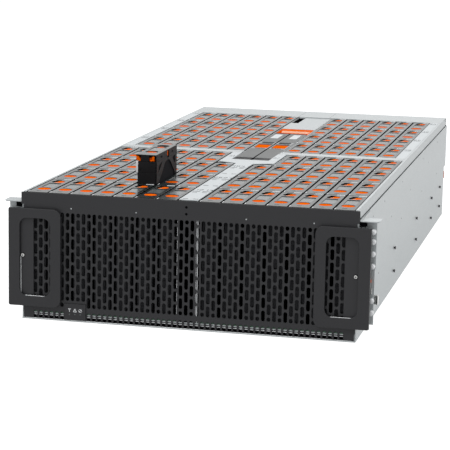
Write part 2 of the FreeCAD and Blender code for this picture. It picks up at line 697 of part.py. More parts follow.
def brace_windows():
    """Triangular openings that leave the braces of the right side."""
    y0 = POST + BRACE
    y1 = CARRIER_LENGTH - POST - BRACE
    ym = (y0 + y1) / 2
    step = (CARRIER_HEIGHT - BRACE_TOP - BRACE_LOW) / BRACE_STEPS
    cutters = []
    for i in range(BRACE_STEPS):
        low = BRACE_LOW + i * step + BRACE / 2 - CARRIER_HEIGHT
        high = low + step - BRACE
        cutters.append(side_window([(y0, low), (ym - BRACE, low), (y0, high)]))
        cutters.append(side_window([(y1, low), (y1, high), (ym + BRACE, low)]))
        cutters.append(side_window([(y0 + BRACE, high), (ym, low + BRACE / 2), (y1 - BRACE, high)]))
    return cutters


def carrier_frame():
    """Frame of the lifted carrier: posts, sill and a braced right side, open on the left."""
    body = box(0, CARRIER_WIDTH, 0, CARRIER_LENGTH, 0, FRAME_HEIGHT)
    cavity = box(-1, CARRIER_WIDTH - TRUSS, POST, CARRIER_LENGTH - POST, SHEET, FRAME_HEIGHT + 1)
    windows = [side_window(points) for points in (WINDOW_FRONT, WINDOW_REAR, WINDOW_MIDDLE)]
    width, depth = FRAME_CORNER
    corner = box(-1, width, -1, POST + 1, CARRIER_HEIGHT - depth, FRAME_HEIGHT + 1)
    rear_corner = moved(corner, 0, CARRIER_LENGTH - POST, 0)
    frame = body.cut([cavity, corner, rear_corner, side_slot()] + windows + brace_windows())
    return [at_lifted(frame)]


def carrier_drive():
    """Three-and-a-half-inch drive, on end in the frame."""
    x0 = CARRIER_WIDTH - TRUSS - SEAT - DRIVE_SIZE.x
    y0 = (CARRIER_LENGTH - DRIVE_SIZE.y) / 2
    drive = Part.makeBox(DRIVE_SIZE.x, DRIVE_SIZE.y, DRIVE_SIZE.z, Vector(x0, y0, SHEET + SEAT))
    edges = [e for e in drive.Edges if abs(e.tangentAt(e.FirstParameter).x) > 0.9]
    return [at_lifted(drive.makeChamfer(2.0, edges))]


def carrier_cap():
    """Cap of the lifted carrier: a shallow shell with two finger holes and openings for the latches."""
    shell = box(0, CARRIER_WIDTH, 0, CARRIER_LENGTH, FRAME_HEIGHT, CARRIER_HEIGHT)
    under = CARRIER_HEIGHT - CAP_WALL
    room = box(CAP_WALL, CARRIER_WIDTH - CAP_WALL, CAP_WALL, CARRIER_LENGTH - CAP_WALL,
               FRAME_HEIGHT - 1, under)
    middle = CARRIER_WIDTH / 2
    holes = [rod_z(FINGER_R, FRAME_HEIGHT, CARRIER_HEIGHT + 1, middle, y)
             for y in (FINGER_FRONT, FINGER_REAR)]
    recess = box(middle - CAP_RECESS_HALF, middle + CAP_RECESS_HALF, FINGER_FRONT + FINGER_R + 3,
                 FINGER_REAR - FINGER_R - 3, CARRIER_HEIGHT - CAP_RECESS, CARRIER_HEIGHT + 1)
    notch = box(NOTCH[0], NOTCH[1], -1, CAP_WALL + 1, FRAME_HEIGHT - 1, under)
    corner = box(-1, CORNER_CUT[0], -1, CORNER_CUT[1], FRAME_HEIGHT - 1, under)
    front = notch.fuse(corner)
    cuts = [room, recess, front, at_rear(front), side_slot()] + holes
    rib = box(CAP_WALL, CARRIER_WIDTH - CAP_WALL, CARRIER_LENGTH / 2 - 1, CARRIER_LENGTH / 2 + 1,
              FRAME_HEIGHT, under)
    return [at_lifted(fuse([shell.cut(cuts), rib]))]


def at_rear(shape):
    """The same shape at the carrier's rear end."""
    return shape.mirror(Vector(0, CARRIER_LENGTH / 2, 0), Vector(0, 1, 0))


def pinch_latch():
    """Pinch latch: pad and arm under the cap, cross bar, leg with its foot, and corner hook."""
    low = CARRIER_HEIGHT - LATCH_LOW
    high = CARRIER_HEIGHT - LATCH_HIGH
    pad_top = CARRIER_HEIGHT - PAD_DEPTH
    pad_low = pad_top - PAD_THICK
    near, far = LATCH_BAR
    reach = FINGER_FRONT + FINGER_R
    middle = CARRIER_WIDTH / 2
    outline = [(near, pad_low), (near, pad_top), (reach - 4, pad_top), (reach, pad_top - 1),
               (reach, pad_low)]
    arm = profile_x(outline, middle - PAD_HALF, middle + PAD_HALF)
    bar = box(FIT, LEG[1], near, far, low, pad_top)
    leg = box(LEG[0], LEG[1], FIT, far, low, high)
    foot = box(LEG_FOOT, LEG[1], FIT, far, low, low + FOOT_HEIGHT)
    hook = profile_x([(FIT, low), (FIT, low + FOOT_HEIGHT), (near - 1, low + FOOT_HEIGHT),
                      (near - 1, high - FOOT_HEIGHT), (FIT, high - FOOT_HEIGHT), (FIT, high),
                      (far, high), (far, low)], FIT, FIT + HOOK_WIDTH)
    return [arm, bar, leg, foot, hook]


def carrier_latch_front():
    """Orange pinch latch under the front finger hole."""
    return [at_lifted(fuse(pinch_latch()))]


def carrier_latch_rear():
    """Orange pinch latch under the rear finger hole, with a bar in the side slot."""
    pad_top = CARRIER_HEIGHT - PAD_DEPTH
    start = CARRIER_LENGTH - FINGER_FRONT - FINGER_R
    link = box(CARRIER_WIDTH / 2, CARRIER_WIDTH - CAP_WALL - FIT, SIDE_BAR[0], start, pad_top - PAD_THICK,
               pad_top - 1)
    joint = box(CARRIER_WIDTH / 2, CARRIER_WIDTH / 2 + PAD_HALF, start - 1, start + 1,
                pad_top - PAD_THICK, pad_top - 1)
    upright = box(CARRIER_WIDTH - CAP_WALL - 2, CARRIER_WIDTH - FIT, SIDE_BAR[0], SIDE_BAR[1],
                  CARRIER_HEIGHT - LATCH_LOW, CARRIER_HEIGHT - LATCH_HIGH)
    return [at_lifted(fuse([at_rear(shape) for shape in pinch_latch()] + [link, joint, upright]))]


# ---------------------------------------------------------------- centre bays

def expander(side):
    """Top-access expander module: lip, latch pocket, air slot and sloping rear end."""
    x0 = EXPANDER_HALF_GAP
    x1 = MODULE_HALF
    y0 = EXPANDER_START
    y1 = EXPANDER_END
    top = EXPANDER_TOP
    outline = [(y0, EXPANDER_BOTTOM), (y1, EXPANDER_BOTTOM), (y1, top - 4), (y1 - 10, top),
               (y0 + EXPANDER_LIP + 4, top), (y0 + EXPANDER_LIP, top - EXPANDER_DROP),
               (y0 + 4, top - EXPANDER_DROP), (y0, top - 5)]
    body = profile_x(outline, x0, x1)
    pocket = box(x0 + POCKET_RIM, x1 - POCKET_RIM, POCKET_START, POCKET_END, top - POCKET_DEPTH, top + 1)
    start, end, depth = EXPANDER_SLOT
    slot = box(x0 + 4, x1 - 5, y0 + start, y0 + end, top - depth, top + 1)
    start, end, depth = EXPANDER_VENT
    vent = box(x0 + 5, x1 - 7, y0 + start, y0 + end, top - depth, top + 1)
    solid = body.cut([pocket, slot, vent])
    return solid if side > 0 else mirrored(solid)


def expander_latch(side):
    """Orange lever in the expander's pocket, hinged at its rear end."""
    x0 = EXPANDER_HALF_GAP + POCKET_RIM + FIT
    x1 = MODULE_HALF - POCKET_RIM - FIT
    y0 = EXPANDER_LATCH_START
    y1 = EXPANDER_LATCH_END
    top = EXPANDER_TOP - 0.5
    low = top - EXPANDER_LATCH_THICK
    mid = (top + low) / 2
    outline = [(y0, top - 1.5), (y0 + 3, top), (y1 - 2, top), (y1, mid), (y1 - 2, low), (y0, low)]
    solid = profile_x(outline, x0, x1)
    return solid if side > 0 else mirrored(solid)


def bail_seat():
    """Moulded seat between the bay walls, under the bail."""
    half = BAY_HALF - SEAT
    tray = box(-half, half, BAIL_START, BAIL_END, BAIL_SEAT_TOP - BAIL_SEAT_HEIGHT, BAIL_SEAT_TOP)
    well = box(-half + 5, half - 5, BAIL_START + 8, BAIL_END - 8, BAIL_SEAT_TOP - 8, BAIL_SEAT_TOP + 1)
    return [tray.cut(well)]


def center_bail():
    """Orange U-shaped bail: a wide bar on two arms with pivot pins."""
    half = BAY_HALF - 4 * FIT
    z1 = BAIL_TOP
    z0 = z1 - BAIL_THICK
    bar = box(-half, half, BAIL_END - BAIL_BAR, BAIL_END, z0, z1)
    pivot_y = BAIL_START + 5
    pivot_z = (z0 + z1) / 2
    arm = box(half - BAIL_ARM, half, pivot_y - BAIL_THICK / 2, BAIL_END - BAIL_BAR, z0, z1)
    pin = rod_x(BAIL_PIN_R, half, BAY_HALF - SEAT, pivot_y, pivot_z)
    return [fuse([bar] + both_sides(arm) + both_sides(pin))]


# ---------------------------------------------------------------- pull-out modules

def power_supply(index):
    """Power supply with a mains inlet and a fan vent in its rear face."""
    z0 = PSU_BOTTOMS[index]
    half = PSU_WIDTH / 2
    body = box(-half, half, PSU_FRONT, PSU_REAR, z0, z0 + PSU_HEIGHT)
    inlet = box(-half + 4, -half + 26, PSU_REAR - 16, PSU_REAR + 1, z0 + 12, z0 + 28)
    vent = box(half - 22, half - 5, PSU_REAR - 4, PSU_REAR + 1, z0 + 8, z0 + PSU_HEIGHT - 8)
    return [body.cut([inlet, vent])]


def psu_latch(index):
    """Orange release tab beside a power supply's handle."""
    z1 = PSU_BOTTOMS[index] + PSU_HEIGHT - 3.0
    x0 = -PSU_WIDTH / 2 + 6.0
    y0 = PSU_REAR + FIT
    return [box(x0, x0 + 14, y0, y0 + 8, z1 - 6, z1)]


def psu_handle(index):
    """Pull handle of a power supply."""
    z0 = PSU_BOTTOMS[index] + 2.0
    y0 = PSU_REAR
    x0 = PSU_WIDTH / 2 - 24.5
    x1 = PSU_WIDTH / 2 - 2.5
    low = box(x0, x1, y0, y0 + PSU_HANDLE_REACH, z0, z0 + 3)
    high = moved(low, 0, 0, PSU_HEIGHT - 7)
    grip = box(x0, x1, y0 + PSU_HANDLE_REACH - 3, y0 + PSU_HANDLE_REACH, z0, z0 + PSU_HEIGHT - 4)
    return [fuse([low, high, grip])]


def io_module(side):
    """Hot-swap I/O module with two cable sockets in its rear face."""
    x0 = FIT / 2
    x1 = MODULE_HALF
    body = box(x0, x1, IO_FRONT, PSU_REAR, IO_BOTTOM, IO_TOP)
    sockets = [box(x0 + 6, x0 + 15, PSU_REAR - 18, PSU_REAR + 1, z, z + 20)
               for z in (IO_BOTTOM + 10, IO_BOTTOM + 36)]
    solid = body.cut(sockets)
    return [solid if side > 0 else mirrored(solid)]


def io_lever(side):
    """Ejector lever across the lower or upper edge of an I/O module's rear face."""
    x0 = FIT / 2 + 1
    x1 = MODULE_HALF - 1
    y0 = PSU_REAR + FIT
    z1 = IO_TOP - 1
    z0 = z1 - 8
    outline = [(x0, y0), (x1 - LEVER_NOSE, y0), (x1, y0 + LEVER_NOSE), (x1 - 1, y0 + 5),
               (x0 + 8, y0 + LEVER_REACH), (x0, y0 + LEVER_REACH)]
    solid = plate_z(outline, z0, z1)
    return [solid if side > 0 else mirrored(solid)]


def fan_center(index):
    """X of a fan's axis; fans 0 and 1 are on the left, 2 and 3 on the right."""
    near = REAR_INNER + FIT + FAN_WIDTH / 2
    far = near + FAN_WIDTH + FIT
    return (-far, -near, near, far)[index]


def fan_frame(index):
    """Fan module: square frame with a round duct, motor mount and struts."""
    x = fan_center(index)
    y1 = UPPER_DEPTH
    half = FAN_WIDTH / 2
    body = box(x - half, x + half, FAN_START, y1, FAN_BOTTOM, FAN_TOP)
    duct = prism_y(FAN_DUCT_R, DUCT_SIDES, FAN_START - 1, y1 + 1, x, FAN_AXIS_Z)
    mount_y = ROTOR_START + ROTOR_DEPTH + HUB_GAP
    mount = prism_y(FAN_HUB_R, HUB_SIDES, mount_y, mount_y + 6, x, FAN_AXIS_Z)
    strut = box(x - FAN_DUCT_R - 1, x + FAN_DUCT_R + 1, mount_y + 1, mount_y + 5, FAN_AXIS_Z - 1.5,
                FAN_AXIS_Z + 1.5)
    upright = box(x - 1.5, x + 1.5, mount_y + 1, mount_y + 5, FAN_AXIS_Z - FAN_DUCT_R - 1,
                  FAN_AXIS_Z + FAN_DUCT_R + 1)
    return [fuse([body.cut(duct), mount, strut, upright])]


def fan_rotor(index):
    """Rotor: hub with pitched blades."""
    x = fan_center(index)
    hub = prism_y(FAN_HUB_R, HUB_SIDES, ROTOR_START, ROTOR_START + ROTOR_DEPTH, x, FAN_AXIS_Z)
    tip = FAN_DUCT_R * math.cos(math.pi / DUCT_SIDES) - 2.0
    middle = ROTOR_START + ROTOR_DEPTH / 2
    blades = []
    for i in range(FAN_BLADES):
        blade = box(-1.0, 1.0, -11, 11, FAN_HUB_R - 3, tip)
        blade.rotate(Vector(0, 0, 0), Vector(0, 0, 1), 38)
        blade.rotate(Vector(0, 0, 0), Vector(0, 1, 0), i * 360.0 / FAN_BLADES)
        blades.append(moved(blade, x, middle, FAN_AXIS_Z))
    return [fuse([hub] + blades)]


def fan_latch(index):
    """Orange latch that hangs below a fan at its outer rear corner."""
    x = fan_center(index)
    outward = -1 if index < 2 else 1
    edge = x + outward * (FAN_WIDTH / 2 - 2)
    x0 = min(edge, edge - outward * FAN_LATCH_WIDTH)
    y1 = UPPER_DEPTH - 0.5
    y0 = y1 - FAN_LATCH_THICK
    z1 = SHELF_TOP
    outline = [(y0, z1), (y0, FAN_LATCH_BOTTOM + 6), (y0 + 2, FAN_LATCH_BOTTOM), (y1, FAN_LATCH_BOTTOM),
               (y1, z1 - 3), (y1 - 3, z1)]
    return [profile_x(outline, x0, x0 + FAN_LATCH_WIDTH)]


# ---------------------------------------------------------------- export

def export(name, solids):
    """Write one sub-part as STEP, moved to the finished model's origin."""
    shape = solids[0] if len(solids) == 1 else Part.makeCompound(solids)
    shape = moved(shape, 0, SHIFT_Y, 0)
    shape.exportStep("parts/" + name + ".step")


def build():
    """Every sub-part of the enclosure, by node name."""
    os.makedirs("parts", exist_ok=True)
    single = (chassis_tub, top_side_rails, drive_deck, backplane_front, backplane_rear, center_divider,
              center_strip, bay_walls, cross_bar, rear_side_strips, rear_cover, rear_shelf, rear_panel,
              center_rear_plate, front_panel, led_panel, handle_left, handle_right, ear_screws,
              rail_brackets, rail_latch_left, rail_latch_right, rail_latch_pivots, carrier_frame,
              carrier_drive, carrier_cap, carrier_latch_front, carrier_latch_rear, bail_seat, center_bail)
    for maker in single:
        export(maker.__name__, maker())
    for name, side in (("left", -1), ("right", 1)):
        export("front_carriers_" + name, front_carriers(side))
        export("rear_carriers_" + name, rear_carriers(side))
    for name, side in (("a", -1), ("b", 1)):
        export("expander_" + name, [expander(side)])
        export("expander_latch_" + name, [expander_latch(side)])
        export("io_module_" + name, io_module(side))
        export("io_lever_" + name, io_lever(side))
    for name, index in (("a", 0), ("b", 1)):
        export("psu_" + name, power_supply(index))
        export("psu_handle_" + name, psu_handle(index))
        export("psu_latch_" + name, psu_latch(index))
    for index in range(4):
        number = str(index + 1)
        export("fan_frame_" + number, fan_frame(index))
        export("fan_rotor_" + number, fan_rotor(index))
        export("fan_latch_" + number, fan_latch(index))


build()
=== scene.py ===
"""Looks of the disk shelf enclosure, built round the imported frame.

Shapes are drawn in millimetres on the source's own axes: X to the right, Y to the rear from the
front face of the panel, Z up from the floor. Objects get them in metres, moved by SHIFT_Y.
"""

import math

import bpy
from mathutils import Matrix, Vector


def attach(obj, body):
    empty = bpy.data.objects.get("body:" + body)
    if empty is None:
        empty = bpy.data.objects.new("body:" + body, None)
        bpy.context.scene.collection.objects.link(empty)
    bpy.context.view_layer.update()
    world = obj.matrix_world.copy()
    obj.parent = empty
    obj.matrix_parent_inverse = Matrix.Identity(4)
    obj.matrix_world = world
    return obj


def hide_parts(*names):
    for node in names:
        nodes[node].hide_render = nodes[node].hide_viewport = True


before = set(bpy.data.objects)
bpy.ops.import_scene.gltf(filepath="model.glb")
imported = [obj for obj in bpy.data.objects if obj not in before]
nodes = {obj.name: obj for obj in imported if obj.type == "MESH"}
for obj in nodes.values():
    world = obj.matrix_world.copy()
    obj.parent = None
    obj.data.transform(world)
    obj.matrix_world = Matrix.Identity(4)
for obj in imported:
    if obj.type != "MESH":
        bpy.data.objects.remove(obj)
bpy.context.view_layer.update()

MM = 0.001
SHIFT_Y = -496.0

# ------------------------------ measures of the source

TOP = 171.0                     # top face of the sheet parts
CARRIER_TOP = 170.2
CARRIER_BOTTOM = 11.7
CAP_HEIGHT = 9.7
COLUMN_PITCH = 29.16
ROW_PITCH = 110.6
CARRIER_GAP = 0.56
CARRIER_W = COLUMN_PITCH - CARRIER_GAP
CARRIER_L = ROW_PITCH - CARRIER_GAP
FRONT_COLUMNS = 7
REAR_COLUMNS = 6
ROWS = 4
FRONT_INNER = 14.1              # inner edge of the front blocks
REAR_INNER = 28.9
FRONT_ROW_START = 2.2
REAR_ROW_START = FRONT_ROW_START + ROWS * ROW_PITCH + 22.4
REAR_END = REAR_ROW_START + ROWS * ROW_PITCH
LIFTED_COLUMN = 2
LIFTED_ROW = 1
LIFT = 40.0
FINGER_R = 8.75                 # finger holes, and their places from the carrier's front
FINGER_FRONT = 30.0
FINGER_REAR = 89.0
HALF = 223.5                    # outer face of a side wall
WALL_TOP = 156.5
STRIP_END = 337.0
EXPANDER_START = 375.0
EXPANDER_END = 689.0
BAIL_END = 752.0
RECESS_START = 832.0
RECESS_IN = -15.0

# ------------------------------ mesh helpers


class Shape:
    """Vertices, faces and material numbers, in millimetres."""

    def __init__(self):
        self.v = []
        self.f = []
        self.m = []

    def add(self, verts, faces, mat=0):
        base = len(self.v)
        self.v.extend([tuple(p) for p in verts])
        self.f.extend([tuple(base + i for i in f) for f in faces])
        self.m.extend([mat] * len(faces) if isinstance(mat, int) else mat)
        return self

    def place(self, other, x=0.0, y=0.0, z=0.0, flip_x=False, flip_y=False):
        sx = -1 if flip_x else 1
        sy = -1 if flip_y else 1
        turn = sx * sy < 0
        base = len(self.v)
        self.v.extend([(sx * a + x, sy * b + y, c + z) for a, b, c in other.v])
        for f in other.f:
            f = tuple(base + i for i in f)
            self.f.append(f[::-1] if turn else f)
        self.m.extend(other.m)
        return self

    def paint(self, rule):
        """Give faces a material number from their centre and normal; rule returns None to leave one."""
        for i, f in enumerate(self.f):
            pts = [Vector(self.v[k]) for k in f]
            centre = sum(pts, Vector()) / len(pts)
            normal = (pts[1] - pts[0]).cross(pts[2] - pts[0])
            if normal.length > 0:
                normal.normalize()
            new = rule(centre, normal)
            if new is not None:
                self.m[i] = new
        return self

    def mesh(self, name):
        me = bpy.data.meshes.new(name)
        co = [(x * MM, (y + SHIFT_Y) * MM, z * MM) for x, y, z in self.v]
        me.from_pydata(co, [], self.f)
        me.polygons.foreach_set("material_index", self.m)
        me.polygons.foreach_set("use_smooth", [True] * len(me.polygons))
        me.update()
        return me


def offset(loop, d):
    """A closed 2-D outline moved inwards by d, for outlines that run anticlockwise."""
    n = len(loop)
    out = []
    for i in range(n):
        ax, ay = loop[i - 1]
        bx, by = loop[i]
        cx, cy = loop[(i + 1) % n]
        e1 = Vector((bx - ax, by - ay)).normalized()
        e2 = Vector((cx - bx, cy - by)).normalized()
        n1 = Vector((-e1.y, e1.x))
        n2 = Vector((-e2.y, e2.x))
        s = n1 + n2
        k = d / max(0.3, 1 + n1.dot(n2))
        out.append((bx + s.x * k, by + s.y * k))
    return out


def area(loop):
    return sum(a[0] * b[1] - b[0] * a[1] for a, b in zip(loop, loop[1:] + loop[:1])) / 2


def to3(axis, a, b, c):
    """Outline point (a, b) and place c along the axis, as X, Y, Z."""
    return {"x": (c, a, b), "y": (a, c, b), "z": (a, b, c)}[axis]


def prism(loop, c0, c1, axis="z", bevel=0.4, mat=0):
    """An outline drawn along an axis, with chamfered ends."""
    if area(loop) < 0:
        loop = loop[::-1]
    n = len(loop)
    small = offset(loop, bevel) if bevel else loop
    rings = [(small, c0), (loop, c0 + bevel), (loop, c1 - bevel), (small, c1)]
    if not bevel:
        rings = [(loop, c0), (loop, c1)]
    verts = [to3(axis, a, b, c) for ring, c in rings for a, b in ring]
    faces = [tuple(range(n))[::-1]]
    for r in range(len(rings) - 1):
        for i in range(n):
            j = (i + 1) % n
            faces.append((r * n + i, r * n + j, (r + 1) * n + j, (r + 1) * n + i))
    faces.append(tuple((len(rings) - 1) * n + i for i in range(n)))
    if axis == "y":
        faces = [f[::-1] for f in faces]
    return Shape().add(verts, faces, mat)


def rect(x0, x1, y0, y1, r=0.0, steps=3):
    """Anticlockwise rectangle with rounded corners."""
    if not r:
        return [(x0, y0), (x1, y0), (x1, y1), (x0, y1)]
    pts = []
    for cx, cy, start in ((x1 - r, y0 + r, -90), (x1 - r, y1 - r, 0), (x0 + r, y1 - r, 90),
                          (x0 + r, y0 + r, 180)):
        for k in range(steps + 1):
            t = math.radians(start + 90 * k / steps)
            pts.append((cx + r * math.cos(t), cy + r * math.sin(t)))
    return pts


def circle(cx, cy, r, steps=24):
    return [(cx + r * math.cos(2 * math.pi * i / steps), cy + r * math.sin(2 * math.pi * i / steps))
            for i in range(steps)]


def arc(cx, cy, r, degrees):
    """Points on a circle at whole degrees."""
    return [(cx + r * math.cos(math.radians(d)), cy + r * math.sin(math.radians(d))) for d in degrees]


def block(x0, x1, y0, y1, z0, z1, bevel=0.4, r=0.0, mat=0):
    """A box with chamfered edges."""
    return prism(rect(x0, x1, y0, y1, max(r, bevel), 1 if r <= bevel else 3), z0, z1, "z", bevel, mat)


def mirror_pair(shape):
    """The shape and its mirror image in the middle plane."""
    return Shape().place(shape, flip_x=True).place(shape)


def sheet_cut(loops, c0, c1, axis="z", bevel=0.25, steps=1, mat=0):
    """A flat sheet with holes, its edges rounded: loops[0] is the outline and the rest are holes."""
    curve = bpy.data.curves.new("outline", "CURVE")
    curve.dimensions = "2D"
    curve.fill_mode = "BOTH"
    curve.bevel_depth = bevel
    curve.bevel_resolution = steps - 1
    curve.extrude = (c1 - c0) / 2 - bevel
    curve.offset = -bevel
    for loop in loops:
        spline = curve.splines.new("POLY")
        spline.points.add(len(loop) - 1)
        for point, (a, b) in zip(spline.points, loop):
            point.co = (a, b, 0.0, 1.0)
        spline.use_cyclic_u = True
    holder = bpy.data.objects.new("outline", curve)
    me = bpy.data.meshes.new_from_object(holder)
    mid = (c0 + c1) / 2
    verts = [to3(axis, v.co.x, v.co.y, mid + v.co.z) for v in me.vertices]
    faces = [tuple(p.vertices) for p in me.polygons]
    if axis == "y":
        faces = [f[::-1] for f in faces]
    shape = Shape().add(verts, faces, mat)
    bpy.data.objects.remove(holder)
    bpy.data.curves.remove(curve)
    bpy.data.meshes.remove(me)
    return shape


def piece(name, shape, materials, body="root", stands_for=None):
    """A mesh of the object: its materials, the body that it rides on and the node it stands for."""
    me = shape.mesh(name)
    for m in materials if isinstance(materials, list) else [materials]:
        me.materials.append(m)
    me.set_sharp_from_angle(angle=math.radians(50))
    ob = bpy.data.objects.new(name, me)
    bpy.context.scene.collection.objects.link(ob)
    weighted = ob.modifiers.new("normals", "WEIGHTED_NORMAL")
    weighted.keep_sharp = True
    weighted.weight = 100
    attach(ob, body)
    if stands_for:
        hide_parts(stands_for)


# ------------------------------ materials


def fill_in(node, values):
    """Set inputs of a shader node by name or number."""
    for key, value in values.items():
        node.inputs[key].default_value = value
    return node


def new_node(tree, kind, values=None, operation=None):
    """A new shader node, with its operation and the values of its inputs."""
    node = tree.nodes.new("ShaderNode" + kind)
    if operation:
        node.operation = operation
    return fill_in(node, values or {})


def surface(name, colour, rough, metal=0.0, vary=0.06, rough_vary=0.08, grain=900.0, bump=0.05,
            patch=30.0, stretch=(1, 1, 1), level=0.5, ior=1.5):
    """A procedural finish: patchy colour and roughness, and a fine grain in the bump."""
    m = bpy.data.materials.new(name)
    m.use_nodes = True
    tree = m.node_tree
    link = tree.links.new
    bsdf = fill_in(tree.nodes["Principled BSDF"],
                   {"Metallic": metal, "Specular IOR Level": level, "IOR": ior})
    where = new_node(tree, "TexCoord")
    turn = new_node(tree, "Mapping", {"Scale": stretch})
    link(where.outputs["Object"], turn.inputs["Vector"])

    def noise(scale, detail):
        node = new_node(tree, "TexNoise", {"Scale": scale, "Detail": detail})
        link(turn.outputs["Vector"], node.inputs["Vector"])
        return node.outputs["Fac"]

    broad = noise(patch, 5.0)
    fine = noise(grain, 3.0)
    ramp = new_node(tree, "ValToRGB")
    dark = [c * (1 - vary) for c in colour]
    light = [min(1.0, c * (1 + vary)) for c in colour]
    for stop, spot, shade in zip(ramp.color_ramp.elements, (0.3, 0.7), (dark, light)):
        stop.position = spot
        stop.color = (*shade, 1)
    link(broad, ramp.inputs["Fac"])
    link(ramp.outputs["Color"], bsdf.inputs["Base Color"])
    both = new_node(tree, "Math", operation="ADD")
    link(broad, both.inputs[0])
    link(fine, both.inputs[1])
    span = new_node(tree, "MapRange", {"From Min": 0.6, "From Max": 1.4,
                                       "To Min": max(0.02, rough - rough_vary),
                                       "To Max": min(1.0, rough + rough_vary)})
    link(both.outputs["Value"], span.inputs["Value"])
    link(span.outputs["Result"], bsdf.inputs["Roughness"])
    push = new_node(tree, "Bump", {"Strength": bump, "Distance": 0.0004})
    link(fine, push.inputs["Height"])
    link(push.outputs["Normal"], bsdf.inputs["Normal"])
    return m


BLACK = surface("powder_black", (0.0195, 0.0195, 0.0215), 0.5, vary=0.10, grain=1400, bump=0.22,
                patch=9, level=0.32)
SHEET = surface("zinc_sheet", (0.425, 0.45, 0.455), 0.42, metal=0.25, vary=0.04, grain=700,
                bump=0.06, patch=7, stretch=(1, 0.15, 1))
PALE = surface("pale_label_stock", (0.53, 0.56, 0.57), 0.45, vary=0.02, grain=1200, bump=0.03,
               patch=14)
CAP = surface("cap_plastic", (0.017, 0.023, 0.023), 0.2, vary=0.12, rough_vary=0.03, grain=1500,
              bump=0.004, level=0.36, ior=1.38)
CARRIER = surface("carrier_plastic", (0.0095, 0.0095, 0.0105), 0.42, vary=0.15, grain=1100,
                  bump=0.06, patch=25, level=0.10)
HIDDEN = surface("carrier_front", (0.040, 0.040, 0.043), 0.6, vary=0.12, grain=1100, patch=25,
                 level=0.03)
ORANGE = surface("latch_plastic", (0.86, 0.125, 0.001), 0.55, vary=0.05, grain=1300, patch=40,
                 level=0.0)
DRIVE = surface("drive_shell", (0.60, 0.61, 0.62), 0.34, metal=0.85, vary=0.04, patch=20,
                stretch=(1, 1, 0.2))
BOARD = surface("board_mask", (0.02, 0.09, 0.04), 0.4, vary=0.2, grain=500, bump=0.1, patch=60)
SCREW = surface("plated_steel", (0.50, 0.50, 0.49), 0.28, metal=0.95, vary=0.08, grain=1600,
                bump=0.06, patch=80)
FAN = surface("fan_plastic", (0.020, 0.020, 0.021), 0.38, vary=0.1, bump=0.08, level=0.45)
MODULE = surface("module_paint", (0.155, 0.16, 0.163), 0.36, grain=1300, bump=0.1, patch=16)
RECESS = surface("recess_plastic", (0.105, 0.115, 0.115), 0.24, vary=0.08, rough_vary=0.04,
                 grain=1500, bump=0.03, ior=1.45)
DEEP = surface("deep_shade", (0.016, 0.016, 0.018), 0.7, vary=0.15, bump=0.1, level=0.02)
# Pitch black used as painted shade: walls of gaps and holes, slots, seams, recess floors and the spaces
# behind the vents.
SHADE_BLACK = surface("painted_shade_black", (0.003, 0.003, 0.0034), 0.7, vary=0.2, bump=0.1, level=0.0)
INK = surface("print_grey", (0.05, 0.055, 0.06), 0.6, vary=0.05, grain=1200, bump=0.02)
ICON = surface("print_white", (0.78, 0.79, 0.80), 0.5, vary=0.03, grain=1200, bump=0.02)
LABEL = surface("bare_label", (0.62, 0.64, 0.65), 0.5, vary=0.03, grain=1100, bump=0.03, patch=25)
EXPANDER = surface("expander_plate", (0.013, 0.017, 0.017), 0.3, rough_vary=0.03, grain=1400,
                   bump=0.006, patch=14, level=0.34, ior=1.38)
# Paler orange painted as the reflection on the bail's ramp.
SHEEN_ORANGE = surface("painted_sheen_orange", (0.72, 0.30, 0.15), 0.35, vary=0.05, rough_vary=0.03, grain=1300,
                bump=0.02, patch=40, level=0.2)
PEACH = surface("lit_orange", (0.80, 0.23, 0.08), 0.5, vary=0.05, grain=1300, bump=0.02, patch=40,
                level=0.05)
# Near-white zinc for the bracket studs and bright edges; on the caps' edges, in the handles' windows
# and on the divider's edges it is painted highlight.
ZINC_AND_HIGHLIGHT = surface("bright_zinc_and_painted_highlight", (0.78, 0.79, 0.80), 0.35, metal=0.1, vary=0.05, grain=1500, patch=60)
DARK_STEEL = surface("dark_steel", (0.035, 0.036, 0.038), 0.32, metal=0.6, vary=0.1, grain=1500,
                     patch=60)

NODE_FINISH = {
    "black_panel": BLACK, "silver_sheet": SHEET, "pale_strip": PALE, "carrier_grey": CAP,
    "carrier_black": CARRIER, "latch_orange": ORANGE, "drive_silver": DRIVE, "board_green": BOARD,
    "screw_steel": SCREW, "fan_black": FAN, "module_grey": MODULE,
}


def dress_nodes():
    """Every CAD node takes the finish of its slot in the record."""
    for ob in nodes.values():
        for slot in ob.material_slots:
            key = slot.material.name.split(".")[0] if slot.material else ""
            slot.material = NODE_FINISH.get(key, SHEET)


dress_nodes()
for name in ("rail_latch_left", "rail_latch_right"):
    for slot in nodes[name].material_slots:
        slot.material = SCREW

BEVELLED = {                    # width in millimetres, and the nodes that get it
    0.15: ("bay_walls",),
    0.2: ("rear_shelf", "rail_latch_pivots"),
    0.25: ("rear_panel",),
    0.3: ("chassis_tub", "center_strip", "center_rear_plate", "fan_rotor_1", "fan_rotor_2",
          "fan_rotor_3", "fan_rotor_4"),
    0.35: ("top_side_rails", "rear_side_strips"),
    0.4: ("cross_bar", "bail_seat", "expander_latch_a", "expander_latch_b", "rail_latch_left",
          "rail_latch_right"),
    0.5: ("rear_cover", "expander_a", "expander_b", "psu_a", "psu_b", "psu_latch_a", "psu_latch_b",
          "io_module_a", "io_module_b"),
    0.6: ("psu_handle_a", "psu_handle_b", "io_lever_a", "io_lever_b"),
    0.8: ("fan_frame_1", "fan_frame_2", "fan_frame_3", "fan_frame_4"),
}


